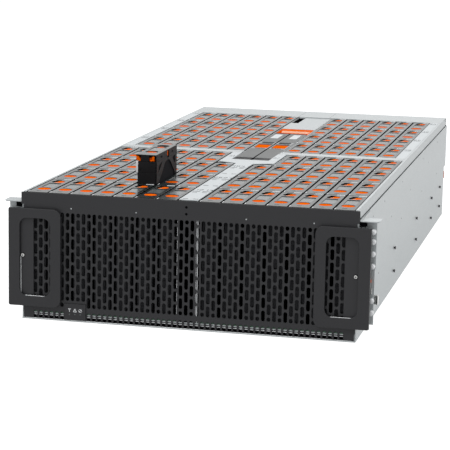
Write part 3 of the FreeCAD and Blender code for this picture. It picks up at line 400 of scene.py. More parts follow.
def soften_nodes():
    """Small rounded edges on the CAD nodes, as folded sheet and moulded parts have them."""
    for name, width in ((name, width) for width, names in BEVELLED.items() for name in names):
        ob = nodes[name]
        weld = ob.modifiers.new("weld", "WELD")
        weld.merge_threshold = 0.0000002
        bevel = ob.modifiers.new("bevel", "BEVEL")
        bevel.width = width * MM
        bevel.segments = 2
        bevel.limit_method = "ANGLE"
        bevel.angle_limit = math.radians(35)
        bevel.use_clamp_overlap = True
        bevel.harden_normals = True
        bevel.loop_slide = name != "chassis_tub"


soften_nodes()

# ------------------------------ stage


WHITE = (1, 1, 1, 1)
FLOOR_HALF = 14.0
FLOOR_DROP = 0.0004
LAMPS = (                       # name, place, aim, size and power
    ("key", (-1.6, -2.0, 3.2), (0, 0, 0), (2.6, 2.0), 72.0),
    ("fill", (3.0, -1.2, 1.8), (0.1, 0.2, 0.1), (2.2, 1.8), 30.0),
    ("back", (0.6, 3.0, 2.6), (0, 0.1, 0.1), (3.0, 1.6), 40.0),
)


def shown_ray(tree):
    """1 for rays that show the background: from the camera, off gloss and through glass."""
    path = new_node(tree, "LightPath")
    shown = path.outputs["Is Camera Ray"]
    for ray in ("Is Glossy Ray", "Is Transmission Ray"):
        either = new_node(tree, "Math", operation="MAXIMUM")
        tree.links.new(shown, either.inputs[0])
        tree.links.new(path.outputs[ray], either.inputs[1])
        shown = either.outputs[0]
    return shown


def studio():
    """White surround, a floor of pale paper and three soft lamps."""
    scene = bpy.context.scene
    scene.view_settings.view_transform = "Standard"
    world = bpy.data.worlds.new("studio")
    scene.world = world
    world.use_nodes = True
    tree = world.node_tree
    tree.nodes.clear()
    out = new_node(tree, "OutputWorld")
    mix = new_node(tree, "MixShader")
    fill = new_node(tree, "Background", {"Color": (0.96, 0.98, 1.0, 1), "Strength": 0.55})
    seen = new_node(tree, "Background", {"Color": WHITE, "Strength": 1.0})
    tree.links.new(shown_ray(tree), mix.inputs["Fac"])
    tree.links.new(fill.outputs[0], mix.inputs[1])
    tree.links.new(seen.outputs[0], mix.inputs[2])
    tree.links.new(mix.outputs[0], out.inputs["Surface"])

    floor_me = bpy.data.meshes.new("floor")
    corners = rect(-FLOOR_HALF, FLOOR_HALF, -FLOOR_HALF, FLOOR_HALF)
    floor_me.from_pydata([(x, y, 0) for x, y in corners], [], [(0, 1, 2, 3)])
    floor = bpy.data.objects.new("floor", floor_me)
    floor.location.z = -FLOOR_DROP
    scene.collection.objects.link(floor)
    m = bpy.data.materials.new("floor_paper")
    m.use_nodes = True
    tree = m.node_tree
    tree.nodes.clear()
    out = new_node(tree, "OutputMaterial")
    paper = new_node(tree, "BsdfDiffuse", {"Color": (0.42, 0.42, 0.42, 1)})
    glow = new_node(tree, "Emission", {"Color": WHITE})
    power = new_node(tree, "Math", {1: 0.85}, "MULTIPLY")
    tree.links.new(shown_ray(tree), power.inputs[0])
    tree.links.new(power.outputs[0], glow.inputs["Strength"])
    add = new_node(tree, "AddShader")
    tree.links.new(paper.outputs[0], add.inputs[0])
    tree.links.new(glow.outputs[0], add.inputs[1])
    tree.links.new(add.outputs[0], out.inputs["Surface"])
    floor_me.materials.append(m)

    for name, place, aim, size, power in LAMPS:
        lamp = bpy.data.lights.new(name, "AREA")
        lamp.shape = "RECTANGLE"
        lamp.size, lamp.size_y = size
        lamp.energy = power
        holder = bpy.data.objects.new(name, lamp)
        holder.location = place
        holder.rotation_euler = (Vector(aim) - Vector(place)).to_track_quat("-Z", "Y").to_euler()
        scene.collection.objects.link(holder)


def camera():
    """Where the camera stands, how it is turned and its focal length."""
    turn, fall, roll = 0.2266, 0.1841, 0.0189
    place = Vector((0.56138, -2.71270, 0.56564))
    focal_px, frame_px, sensor = 1807.65, 450.0, 36.0
    look = Vector((-math.sin(turn) * math.cos(fall), math.cos(turn) * math.cos(fall), -math.sin(fall)))
    right = Vector((math.cos(turn), math.sin(turn), 0))
    up = right.cross(look)
    right_r = math.cos(roll) * right + math.sin(roll) * up
    up_r = -math.sin(roll) * right + math.cos(roll) * up
    cam = bpy.data.cameras.new("camera")
    cam.sensor_width = sensor
    cam.lens = focal_px / frame_px * sensor
    cam.clip_start = 0.05
    cam.clip_end = 50
    holder = bpy.data.objects.new("camera", cam)
    turn_m = Matrix((right_r, up_r, -look)).transposed().to_4x4()
    turn_m.translation = place
    holder.matrix_world = turn_m
    bpy.context.scene.collection.objects.link(holder)
    bpy.context.scene.camera = holder


studio()
camera()

# ------------------------------ drive carriers

PAD_HOLE_DEPTH = 5.2
PAD_SKIRT = 5.8
PAD_DISH = 1.1                  # how far the dome falls to its ends and to its sides
PAD_SIDE_DROP = 0.8


def pad_shape(flip, half=8.5, y0=-8.6, y1=8.5, notch=False, crown=0.5):
    """Orange pad in a finger hole: a shallow dome, narrower towards the carrier's middle.

    A notched pad is open at the end of its left half, pitch black inside as painted shade, and a paler
    orange at its near edge as a painted reflection.
    """
    rows, cols = 14, 14
    top = CARRIER_TOP
    verts, mats = [], []
    for i in range(rows + 1):
        t = i / rows                    # 0 at the carrier's end, 1 towards its middle
        y = y0 + (y1 - y0) * t
        reach = half * math.sqrt(max(0.05, 1 - (abs(t - 0.36) / 0.74) ** 2.6))
        for j in range(cols + 1):
            u = 2 * j / cols - 1
            z = crown - PAD_DISH * (2 * t - 1) ** 2 - PAD_SIDE_DROP * abs(u) ** 3
            if notch:
                z += 1.3 * min(0.0, u - 0.15)
                if t < 0.6 and u * reach < 1.2 - 3.4 * t:
                    z = -PAD_HOLE_DEPTH
            verts.append((u * reach, y, top + z))
    n = cols + 1
    faces = [(i * n + j, i * n + j + 1, (i + 1) * n + j + 1, (i + 1) * n + j)
             for i in range(rows) for j in range(cols)]
    for f in faces:
        # Deep faces take the pitch black of painted shade, pale ones the lit orange of a painted
        # reflection.
        deep = min(verts[k][2] for k in f) < top - 4.5
        pale = notch and verts[f[0]][0] < 0.5 and verts[f[0]][1] > 2.2
        mats.append(1 if deep else 2 if pale else 0)
    base = len(verts)
    count = len(faces)
    rim = ([(0, j) for j in range(cols + 1)] + [(i, cols) for i in range(1, rows + 1)]
           + [(rows, j) for j in range(cols - 1, -1, -1)] + [(i, 0) for i in range(rows - 1, 0, -1)])
    ids = [i * n + j for i, j in rim]
    verts += [(x, y, top - PAD_SKIRT) for x, y, z in verts]
    for a, b in zip(ids, ids[1:] + ids[:1]):
        faces.append((b, a, a + base, b + base))
        mats.append(0)
    faces += [tuple(k + base for k in f[::-1]) for f in faces[:count]]
    mats += [0] * count
    return Shape().place(Shape().add(verts, faces, mats), flip_y=flip)


CAP_INSET = 0.95                # cap edge from the carrier's own edge, so that the gaps show
CAP_SHEET = 1.6
# Material numbers 1 and 3 of a cap are painted shade in pitch black and painted highlight in near-white
# zinc.
SHADE_PAINT, FLAT, HIGHLIGHT_PAINT = 1, 2, 3    # material numbers of a cap, after its own plastic


def cap_shape():
    """Top of a carrier, from its corner: two finger holes, a recess, a slit, painted highlights on its
    edges and painted shade in its holes and gaps.
    """
    mid = CARRIER_W / 2
    z1 = CARRIER_TOP
    z0 = CARRIER_TOP - CAP_SHEET
    floor = z0 - 6.2
    x0, x1 = CAP_INSET, CARRIER_W - CAP_INSET
    y0, y1 = 0.05, CARRIER_L - 0.35
    notch_end = FINGER_REAR + 12.2
    outline = rect(x0, x1, 0.5, CARRIER_L - 0.8, 1.2, 2)
    rear = arc(mid, FINGER_REAR, FINGER_R, range(140, 441, 10))
    rear += [(mid + 0.9, notch_end), (mid - 5.6, notch_end)]
    holes = [circle(mid, FINGER_FRONT, FINGER_R, 30)[::-1], rear[::-1]]
    recess = rect(mid - 8.2, mid + 8.6, FINGER_FRONT + 12.5, FINGER_REAR - 12.5, 0.8, 1)
    slit = rect(mid - 4.6, mid + 1.6, 10.2, 11.6, 0.3, 1)
    s = sheet_cut([outline] + holes + [recess[::-1], slit[::-1]], z0, z1, "z", 0.35, 2)

    def paint_shade_inside(centre, normal):
        """Walls of the gaps and of the finger holes are painted pitch black as shade."""
        steep = abs(normal.z) < 0.75
        if abs(normal.x) > 0.85 and not x0 + 0.5 < centre.x < x1 - 0.5:
            return SHADE_PAINT
        if abs(normal.y) > 0.85 and not 1.0 < centre.y < CARRIER_L - 1.3:
            return SHADE_PAINT
        if steep and math.hypot(centre.x - mid, centre.y - FINGER_FRONT) < FINGER_R + 0.3:
            return SHADE_PAINT
        if steep and FINGER_REAR - 9.1 < centre.y < notch_end + 0.3 and x0 + 2 < centre.x < x1 - 2:
            return SHADE_PAINT
        return None

    s.paint(paint_shade_inside)
    # Below the sheet, a pitch-black box and walls, and a well round the front hole, are painted shade
    # in the holes.
    s.place(block(x0, x1, y0, y1, z1 - CAP_HEIGHT, floor, 0.2, mat=SHADE_PAINT))
    s.place(sheet_cut([rect(x0, x1, y0, y1), rect(x0 + 1.2, x1 - 1.2, 1.2, CARRIER_L - 1.5)[::-1]],
                      floor - 0.1, z0 + 0.1, "z", 0.1, 1, SHADE_PAINT))
    # Near-white rib at the rear right and bar at the front left: painted highlights on the cap's edges.
    rib = [(mid + 2.0, CARRIER_L - 4.6), (x1 - 0.9, CARRIER_L - 3.2), (x1 - 0.9, CARRIER_L - 1.0),
           (mid + 2.0, CARRIER_L - 2.2)]
    s.place(prism(rib, z1 - 0.3, z1 + 0.4, "z", 0.15, HIGHLIGHT_PAINT))
    s.place(block(x0 + 0.3, x0 + 1.3, 1.2, 10.0, z1 - 0.4, z1 + 0.2, 0.15, mat=HIGHLIGHT_PAINT))
    s.place(prism(recess, z0 - 0.4, z1 - 0.75, "z", 0.0, FLAT))
    well = [circle(mid, FINGER_FRONT, FINGER_R + 1.0), circle(mid, FINGER_FRONT, FINGER_R)[::-1]]
    s.place(sheet_cut(well, floor, z0 + 0.1, "z", 0.05, 1, SHADE_PAINT))
    return s


MARK_HEIGHTS = (36.0, 62.0, 88.0, 114.0)


def seated_body(front_row):
    """Carrier below its cap; the front row's ends step back beside the post behind the vents."""
    low = CARRIER_BOTTOM
    high = CARRIER_TOP - CAP_HEIGHT
    if not front_row:
        return block(0.1, CARRIER_W - 0.1, 0.1, CARRIER_L - 0.1, low, high, 0.3)
    # In the front row the shell is pitch black, painted shade behind the vents, with the grey plates in
    # front of it.
    s = block(0.1, CARRIER_W - 0.1, 14.0, CARRIER_L - 0.1, low, high, 0.3, mat=1)
    s.place(block(4.4, CARRIER_W - 3.6, 5.0, 14.2, low, high, 0.4, mat=2))
    s.place(block(8.6, CARRIER_W - 9.0, 3.0, 5.2, low, high, 0.4, mat=2))
    for z in MARK_HEIGHTS:
        s.place(block(9.4, CARRIER_W - 9.8, 2.7, 3.1, z, z + 0.9, 0.1))
    return s


cap = cap_shape()
pad_front = pad_shape(False)
pad_rear = pad_shape(True, notch=True)
body_shape = seated_body(False)
front_body = seated_body(True)


def corner_of(inner, first_y, column, row, side):
    """Front corner of a carrier with the lower X."""
    left = inner + column * COLUMN_PITCH + CARRIER_GAP / 2
    if side < 0:
        left = -left - CARRIER_W
    return left, first_y + row * ROW_PITCH + CARRIER_GAP / 2


def carriers():
    """The seated carriers of each block: caps, pads and the shells below the caps."""
    for name, inner, first, columns, side in (
            ("front_carriers_left", FRONT_INNER, FRONT_ROW_START, FRONT_COLUMNS, -1),
            ("front_carriers_right", FRONT_INNER, FRONT_ROW_START, FRONT_COLUMNS, 1),
            ("rear_carriers_left", REAR_INNER, REAR_ROW_START, REAR_COLUMNS, -1),
            ("rear_carriers_right", REAR_INNER, REAR_ROW_START, REAR_COLUMNS, 1)):
        caps, pads, bodies = Shape(), Shape(), Shape()
        front = columns == FRONT_COLUMNS
        for row in range(ROWS):
            for column in range(columns):
                if front and column == 0 and row == ROWS - 1:
                    continue                # the centre bay takes this place
                if name == "front_carriers_left" and (column, row) == (LIFTED_COLUMN, LIFTED_ROW):
                    continue
                x, y = corner_of(inner, first, column, row, side)
                caps.place(cap, x, y)
                bodies.place(front_body if front and row == 0 else body_shape, x, y)
                pads.place(pad_front, x + CARRIER_W / 2, y + FINGER_FRONT)
                pads.place(pad_rear, x + CARRIER_W / 2, y + FINGER_REAR)
        for kind, shape, mats, slot in (("caps", caps, [CAP, SHADE_BLACK, RECESS, ZINC_AND_HIGHLIGHT], "carrier_grey"),
                                        ("pads", pads, [ORANGE, SHADE_BLACK, PEACH], "latch_orange"),
                                        ("shells", bodies, [CARRIER, SHADE_BLACK, HIDDEN], "carrier_black")):
            piece(name.replace("carriers", kind), shape, mats, stands_for=name)


carriers()

# ------------------------------ front panel

PANEL_SHEET = 1.5
PANEL_BOTTOM = 2.0
PANEL_TOP = 170.0
PANEL_HALF = 224.5
PANEL_LOW_HALF = 221.2
SHOULDER_Z = 154.0
VENT_TOP = 145.0
VENT_PITCH_X = 7.32
VENT_PITCH_Z = 17.2
VENT_W = 4.8
VENT_BRIDGE = 3.1
VENT_H = VENT_PITCH_Z - VENT_BRIDGE
VENT_SHORT = VENT_PITCH_Z / 2 - VENT_BRIDGE
VENT_ROWS = 7
VENT_HALF_COLUMNS = 28
LED_COLUMNS = range(-22, -18)   # the light plate covers these
COMB_TOP = 12.4


def vent_spans(column):
    """Heights of the vents in a column; every other column starts with a short one."""
    spans = []
    top = VENT_TOP
    if column % 2 == 0:
        spans.append((top - VENT_SHORT, top))
        top -= VENT_SHORT + VENT_BRIDGE
    for _ in range(VENT_ROWS):
        spans.append((top - VENT_H, top))
        top -= VENT_PITCH_Z
    if column % 2:
        spans.append((top - VENT_SHORT, top))
    if column in LED_COLUMNS:
        last = spans.pop()
        if column % 2 == 0:
            spans.append((last[1] - VENT_SHORT, last[1]))
    return spans


def front_panel():
    """Perforated panel with round-ended vents and a comb along its lower edge."""
    outline = [(-PANEL_HALF, PANEL_TOP), (-PANEL_HALF, SHOULDER_Z), (-PANEL_LOW_HALF, SHOULDER_Z),
               (-PANEL_LOW_HALF, PANEL_BOTTOM)]
    holes = []
    half = VENT_W / 2
    for column in range(-VENT_HALF_COLUMNS, VENT_HALF_COLUMNS + 1):
        x = column * VENT_PITCH_X
        for low, high in vent_spans(column):
            holes.append(rect(x - half, x + half, low, high, half - 0.01, 5)[::-1])
        if column not in LED_COLUMNS:
            outline += [(x - half, PANEL_BOTTOM), (x - half, COMB_TOP - half)]
            outline += arc(x, COMB_TOP - half, half, range(162, 0, -18))
            outline += [(x + half, COMB_TOP - half), (x + half, PANEL_BOTTOM)]
    outline += [(PANEL_LOW_HALF, PANEL_BOTTOM), (PANEL_LOW_HALF, SHOULDER_Z), (PANEL_HALF, SHOULDER_Z),
                (PANEL_HALF, PANEL_TOP)]
    s = sheet_cut([outline] + holes, 0.0, PANEL_SHEET, "y", 0.22, 1)
    piece("front_grille", s, BLACK, stands_for="front_panel")


front_panel()

# ------------------------------ handles and light plate

HANDLE_OUT = 240.5
HANDLE_IN = 168.9
HANDLE_BOTTOM = 18.3
HANDLE_TOP = 149.3
HANDLE_R = 10.0
HANDLE_FACE = -6.0
EAR_IN = 207.0
WINDOW = (183.1, 225.1, 32.5, 136.5)
SCREW_X = 221.7
SCREW_Z = 86.0


def handles():
    """Sheet-metal rack handles with a finger window and an ear plate behind it."""
    x_in = HANDLE_IN + HANDLE_R
    z_low, z_high = HANDLE_BOTTOM + HANDLE_R, HANDLE_TOP - HANDLE_R
    face = [(x_in, HANDLE_BOTTOM), (HANDLE_OUT - 1.5, HANDLE_BOTTOM), (HANDLE_OUT, HANDLE_BOTTOM + 1.5),
            (HANDLE_OUT, HANDLE_TOP - 1.5), (HANDLE_OUT - 1.5, HANDLE_TOP)]
    face += arc(x_in, z_high, HANDLE_R, range(90, 181, 15))
    face += arc(x_in, z_low, HANDLE_R, range(180, 270, 15))
    low, high = HANDLE_BOTTOM + 0.5, HANDLE_TOP - 0.5
    for name, side in (("left", -1), ("right", 1)):
        s = sheet_cut([face, rect(*WINDOW, 10.0, 7)[::-1]], HANDLE_FACE, HANDLE_FACE + 2.0, "y", 0.7, 3)
        s.place(block(HANDLE_IN + 0.05, HANDLE_IN + 2.0, -4.6, 0.0, 29.0, 139.0, 0.2))
        s.place(block(HANDLE_OUT - 2.0, HANDLE_OUT - 0.05, -4.6, 0.0, low, high, 0.2))
        s.place(block(EAR_IN, HANDLE_OUT - 1.5, -2.0, 0.0, low, high, 0.4))
        piece("rack_handle_" + name, Shape().place(s, flip_x=side < 0), BLACK,
              stands_for="handle_" + name)


def captive_screws():
    """Cross-slotted screw heads in the ear plates, each over a dark ring; the ring and the slots are
    pitch black as painted shade.
    """
    s = Shape()
    z = SCREW_Z
    for x in (-SCREW_X, SCREW_X):
        # Dark ring and cross slots in pitch black: painted shade.
        s.place(prism(circle(x, z, 2.9, 18), -2.4, -2.0, "y", 0.1, 1))
        s.place(prism(circle(x, z, 2.3, 18), -3.5, -2.2, "y", 0.35))
        s.place(prism(rect(x - 1.7, x + 1.7, z - 0.35, z + 0.35), -3.6, -3.3, "y", 0.0, 1))
        s.place(prism(rect(x - 0.35, x + 0.35, z - 1.7, z + 1.7), -3.6, -3.3, "y", 0.0, 1))
    piece("captive_screws", s, [SCREW, SHADE_BLACK], stands_for="ear_screws")


def front_glints():
    """Painted highlights in the handles' windows; the floor's front lip and a strip behind the comb,
    real edges painted near-white as highlights; and a black sheet behind the comb as painted shade.
    """
    # Near-white strips in the handles' windows: painted highlights.
    s = block(-225.0, -224.0, -2.6, -1.9, 36.0, 84.0, 0.2)
    s.place(mirror_pair(block(190.0, 218.0, -5.6, -4.5, 32.2, 32.9, 0.2)))
    piece("handle_glints", s, ZINC_AND_HIGHLIGHT)
    # Floor lip and comb strip: real edges painted near-white as highlights; the black sheet behind the
    # comb is painted shade.
    s = block(-219.0, 219.0, 0.1, 1.4, 0.3, 1.75, 0.2)
    s.place(block(-214.0, 214.0, 2.0, 2.4, 5.9, 6.9, 0.1))
    s.place(block(-219.0, 219.0, 2.4, 2.8, 1.8, 11.4, 0.0, mat=1))
    piece("floor_lip", s, [ZINC_AND_HIGHLIGHT, SHADE_BLACK])


PLATE_FACE = (-1.66, -1.58)     # Y of the marks on the light plate


def light_plate():
    """Status light plate with three plain signs and a light under each."""
    x0, x1 = -22.5 * VENT_PITCH_X, -18.5 * VENT_PITCH_X
    side = [(0.0, PANEL_BOTTOM), (-1.6, 4.0), (-1.6, 24.2), (0.0, 24.2)]
    s = prism(side, x0, x1, "x", 0.25)
    piece("light_plate", s, BLACK, stands_for="led_panel")
    marks = Shape()

    def bar(xa, za, xb, zb, w=0.45):
        d = Vector((xb - xa, zb - za))
        n = Vector((-d.y, d.x)).normalized() * w / 2
        loop = [(xa - n.x, za - n.y), (xb - n.x, zb - n.y), (xb + n.x, zb + n.y), (xa + n.x, za + n.y)]
        marks.place(prism(loop, *PLATE_FACE, "y", 0.0))

    a, b, c = -157.4, -150.0, -142.6
    z = 15.6
    bar(a, z - 2.2, a, z + 1.0, 0.8)
    bar(a - 2.0, z + 2.0, a + 2.0, z + 2.0, 0.7)
    bar(a - 1.3, z + 1.0, a + 1.3, z + 1.0, 0.6)
    for p, q in (((-2.3, -1.9), (0, 2.3)), ((0, 2.3), (2.3, -1.9)), ((2.3, -1.9), (-2.3, -1.9))):
        bar(b + p[0], z + p[1], b + q[0], z + q[1], 0.7)
    bar(b, z - 0.9, b, z + 0.9, 0.6)
    ring = circle(c, z, 2.1, 16)
    for p, q in zip(ring, ring[1:] + ring[:1]):
        bar(*p, *q, 0.6)
    bar(c - 1.4, z - 1.4, c + 1.4, z + 1.4, 0.6)
    piece("plate_icons", marks, ICON)
    dots = Shape()
    for x in (a, b, c):
        dots.place(prism(circle(x, 10.2, 0.8, 12), *PLATE_FACE, "y", 0.0))
    piece("plate_dots", dots, RECESS)


def panel_details():
    """Rivets, and two holes drawn as pitch-black discs of painted shade, in the band over the vents."""
    s = Shape()
    for x in (-156.0, -68.0, 78.0, 166.0):
        s.place(prism(circle(x, 151.0, 0.9, 12), -0.12, 0.1, "y", 0.08))
    piece("panel_rivets", s, SHEET)
    s = Shape()
    # Holes drawn as pitch-black discs: painted shade.
    for z in (162.0, 153.0):
        s.place(prism(circle(-1.0, z, 1.7, 16), -0.06, 0.1, "y", 0.0))
    piece("panel_holes", s, SHADE_BLACK)


handles()
captive_screws()
front_glints()
light_plate()
panel_details()

# ------------------------------ rail brackets

BRACKET_Y = 12.0
BRACKET_TOP = 156.0
BRACKET_STEP = 95.0             # the flange is wide above this height
FLANGE_OUT = 244.5
TAB_OUT = 249.5
STUD_X = 240.8
STUD_HEIGHTS = (38.275, 54.15, 98.6, 114.475, 130.35, 143.05)


def brackets():
    """Front brackets of the slide rails, their locating studs and the small parts of the latches."""
    y = BRACKET_Y
    x0 = HALF + 0.1
    sheet = block(HALF, HALF + 1.5, y, 90.0, 22.0, BRACKET_TOP, 0.25)
    tab = [(HALF, 1.5), (246.5, 1.5), (TAB_OUT, 7.5), (TAB_OUT, 26.0), (HALF, 26.0)]
    sheet.place(prism(tab, BRACKET_TOP, BRACKET_TOP + 1.5, "z", 0.25))
    flange = [(x0, 22.0), (243.5, 22.0), (243.5, BRACKET_STEP), (FLANGE_OUT, BRACKET_STEP),
              (FLANGE_OUT, BRACKET_TOP + 0.2), (x0, BRACKET_TOP + 0.2)]
    sheet.place(prism(flange, y, y + 1.5, "y", 0.2))
    sheet.place(block(FLANGE_OUT - 1.5, FLANGE_OUT, y + 0.3, 35.0, BRACKET_STEP, BRACKET_TOP + 0.2,
                      0.25))
    studs = Shape()
    for z in STUD_HEIGHTS:
        studs.place(prism(circle(STUD_X, z, 3.5, 20), 3.4, 12.1, "y", 1.0))
        studs.place(prism(circle(STUD_X, z, 2.3, 16), 2.55, 3.6, "y", 0.5))
    springs = block(226.0, 236.0, 9.6, 12.1, 66.0, 88.0, 0.5)
    springs.place(block(228.0, 241.0, 10.6, 12.1, 62.0, 70.0, 0.4))
    springs.place(block(230.0, 234.0, 8.6, 10.0, 70.0, 74.0, 0.3))
    tip = block(236.5, 239.5, 9.4, 11.8, 77.0, 81.0, 0.4)
    piece("bracket_tips", mirror_pair(tip), ORANGE)
    piece("bracket_sheet", mirror_pair(sheet), SHEET, stands_for="rail_brackets")
    piece("bracket_studs", mirror_pair(studs), ZINC_AND_HIGHLIGHT, stands_for="rail_brackets")
    piece("bracket_springs", mirror_pair(springs), SCREW)


brackets()

# ------------------------------ chassis details

STUD_ROWS_Y = (340.0, 591.0, 790.0, 911.0)
STUD_ROWS_Z = (59.0, 25.0)
RIVETS = ((60.0, 148.0), (120.0, 143.0), (225.0, 146.0), (300.0, 112.0), (410.0, 90.0), (410.0, 145.0),
          (505.0, 118.0), (655.0, 92.0), (655.0, 145.0), (735.0, 128.0), (860.0, 90.0), (860.0, 145.0),
          (150.0, 74.0), (190.0, 52.0))


def side_marks():
    """Dark shoulder studs and rivets in the side walls, and a pitch-black strip painted as the shadow
    in the seam under the top rails.
    """
    studs, rivets = Shape(), Shape()
    wall = HALF - 0.1
    for y in STUD_ROWS_Y:
        for z in STUD_ROWS_Z:
            studs.place(prism(circle(y, z, 1.5, 14), wall, HALF + 1.7, "x", 0.0))
            studs.place(prism(circle(y, z, 2.5, 18), HALF + 1.5, HALF + 2.9, "x", 0.4))
            studs.place(prism(circle(y, z, 2.9, 18), wall, HALF + 0.2, "x", 0.1))
    for y, z in RIVETS:
        rivets.place(prism(circle(y, z, 1.1, 12), wall, HALF + 0.25, "x", 0.15))
    # Pitch-black strip in the seam under the top rails: painted shadow.
    gap = block(221.8, 222.3, 3.0, 997.6, WALL_TOP - 0.9, WALL_TOP + 1.1, 0.0)
    piece("side_studs", mirror_pair(studs), DARK_STEEL)
    piece("side_rivets", mirror_pair(rivets), RECESS)
    piece("rail_seam_shadows", mirror_pair(gap), SHADE_BLACK)


def divider():
    """Channel between the front blocks, dark inside as painted shade, with near-white strips at its
    front and top edges as painted highlights.
    """
    out, inn, bottom, low, high = 13.9, 13.0, 9.8, 11.3, 169.5
    profile = [(-out, bottom), (out, bottom), (out, high), (inn, high), (inn, low), (-inn, low),
               (-inn, high), (-out, high)]
    s = prism(profile, 1.6, STRIP_END, "y", 0.0, 1)
    for side in (-1, 1):
        # Near-white edge strips: painted highlights.
        reach = out + (0.9 if side > 0 else 0.0)
        edge = block(inn - 1.0, reach, 1.6, 2.2, 10.2, high, 0.1, mat=2)
        edge.place(block(inn, out, 2.0, STRIP_END, high - 0.6, high, 0.1))
        s.place(edge, flip_x=side < 0)
    piece("divider_channel", s, [SHEET, DEEP, ZINC_AND_HIGHLIGHT], stands_for="center_divider")


def panel_ears():
    """Ends of the panel, folded back behind the handles, in pitch black darker than the panel: painted
    shade under the bracket tabs.
    """
    # Pitch black here is painted shade under the bracket tab.
    ear = block(222.1, 232.0, 1.7, 11.6, 150.0, 155.7, 0.2)
    piece("panel_ears", mirror_pair(ear), SHADE_BLACK)


FAN_WIDTH = 95.35
FAN_GAP = 0.3
FAN_LATCH_WIDTH = 34.0
FAN_LATCH_REACH = 222.3         # outer end of the outer latches
FAN_LATCH_OUTLINE = ((992.0, 75.0), (992.0, 68.0), (994.0, 62.1), (997.4, 62.1), (997.4, 73.0),
                     (995.6, 75.0))
FAN_LATCH_ARM = ((992.4, 84.9), (992.4, 74.0), (997.2, 74.0), (997.2, 82.0), (994.6, 84.9))


def fan_latches():
    """Orange latches that hang under the fans at their outer corners."""
    near = REAR_INNER + FAN_GAP + FAN_WIDTH / 2
    far = near + FAN_WIDTH + FAN_GAP
    for i, x in enumerate((-far, -near, near, far)):
        outer = abs(x) + FAN_WIDTH / 2 - 2
        reach = FAN_LATCH_REACH if abs(x) == far else outer
        s = prism(FAN_LATCH_OUTLINE, outer - FAN_LATCH_WIDTH, reach, "x", 0.5)
        s.place(prism(FAN_LATCH_ARM, outer - 26.0, outer - 8.0, "x", 0.3))
        for k in range(3):
            z = 64.0 + 2.6 * k
            s.place(block(outer - 30.0, outer - 4.0, 997.3, 997.9, z, z + 1.2, 0.2))
        latch = "fan_latch_%d" % (i + 1)
        piece("fan_release_%d" % (i + 1), Shape().place(s, flip_x=x < 0), ORANGE, body=latch,
              stands_for=latch)


INK_DEPTH = 0.04
SEGMENTS = {"0": "abcdef", "1": "bc", "2": "abged", "3": "abgcd", "4": "fgbc", "5": "afgcd",
            "6": "afgedc", "7": "abc", "8": "abcdefg", "9": "abcdfg"}


def digits(s, text, x, y, h, z):
    """Plain numbers from flat strokes, read from the front."""
    w, t, mid = 0.5 * h, 0.14 * h, y + h / 2
    for k, ch in enumerate(text):
        x0 = x + k * 0.75 * h
        right = x0 + w - t
        strokes = {"a": (x0, x0 + w, y + h - t, y + h), "g": (x0, x0 + w, mid - t / 2, mid + t / 2),
                   "d": (x0, x0 + w, y, y + t), "f": (x0, x0 + t, mid, y + h),
                   "b": (right, x0 + w, mid, y + h), "e": (x0, x0 + t, y, mid),
                   "c": (right, x0 + w, y, mid)}
        for name in SEGMENTS[ch]:
            s.place(prism(rect(*strokes[name]), z, z + INK_DEPTH, "z", 0.0))


SIDE_MARKS_X = 211.0
SIDE_MARKS_Y = (556.0, 674.0, 783.0, 890.0)
BAY_MARKS_X = 34.0


def strip_marks():
    """Plain slot numbers and short rules on the pale strips."""
    s = Shape()
    z = TOP

    def rule(x0, x1, y0, y1):
        s.place(prism(rect(x0, x1, y0, y1), z, z + INK_DEPTH, "z", 0.0))

    for row in range(ROWS - 1):
        y = FRONT_ROW_START + row * ROW_PITCH
        for k, dx in enumerate((-11.5, 2.0)):
            digits(s, str(12 + row * 14 + k), dx, y + 80.0, 9.0, z)
            rule(dx, dx + 10.0, y + 70.0, y + 73.5)
            rule(dx + 1.0, dx + 8.0, y + 62.0, y + 64.5)
            rule(dx + 2.0, dx + 9.0, y + 10.0, y + 13.0)
    for side in (-1, 1):
        for i, y in enumerate(SIDE_MARKS_Y):
            x = SIDE_MARKS_X * side
            digits(s, str(42 + 12 * i + (6 if side > 0 else 0)), x - 5.5, y, 8.0, z)
            rule(x - 5.5, x + 5.0, y - 8.0, y - 5.0)
        x = BAY_MARKS_X * side
        digits(s, "40" if side < 0 else "41", x - 4.0, 405.0, 6.0, z)
        rule(x - 4.0, x + 4.0, 399.0, 401.0)
    piece("strip_numbers", s, INK)


side_marks()
divider()
panel_ears()
fan_latches()
strip_marks()

# ------------------------------ centre bays

# Material 1 is pitch black: painted shade in the gaps and along the edges of the plates.
EXPANDER_TRIM = (               # X, Y, rise over the carriers' tops, chamfer and material
    (1.2, 26.4, EXPANDER_START + 22.5, EXPANDER_START + 27.8, 0.15, 0.5, 0),
    (0.4, 27.2, EXPANDER_START + 0.2, EXPANDER_START + 2.2, 0.15, 0.3, 1),
    (0.05, 1.1, EXPANDER_START + 2.0, EXPANDER_END - 1.0, 0.14, 0.1, 1),
    (1.2, 26.4, EXPANDER_START + 2.2, EXPANDER_START + 5.0, 0.15, 0.4, 0),
    (4.2, 22.6, 560.0, 564.6, 0.02, 0.2, 1),
    (5.0, 21.0, 505.0, 507.5, 0.02, 0.2, 1),
    (0.8, 27.0, 679.0, 686.0, 0.1, 0.3, 0),
)


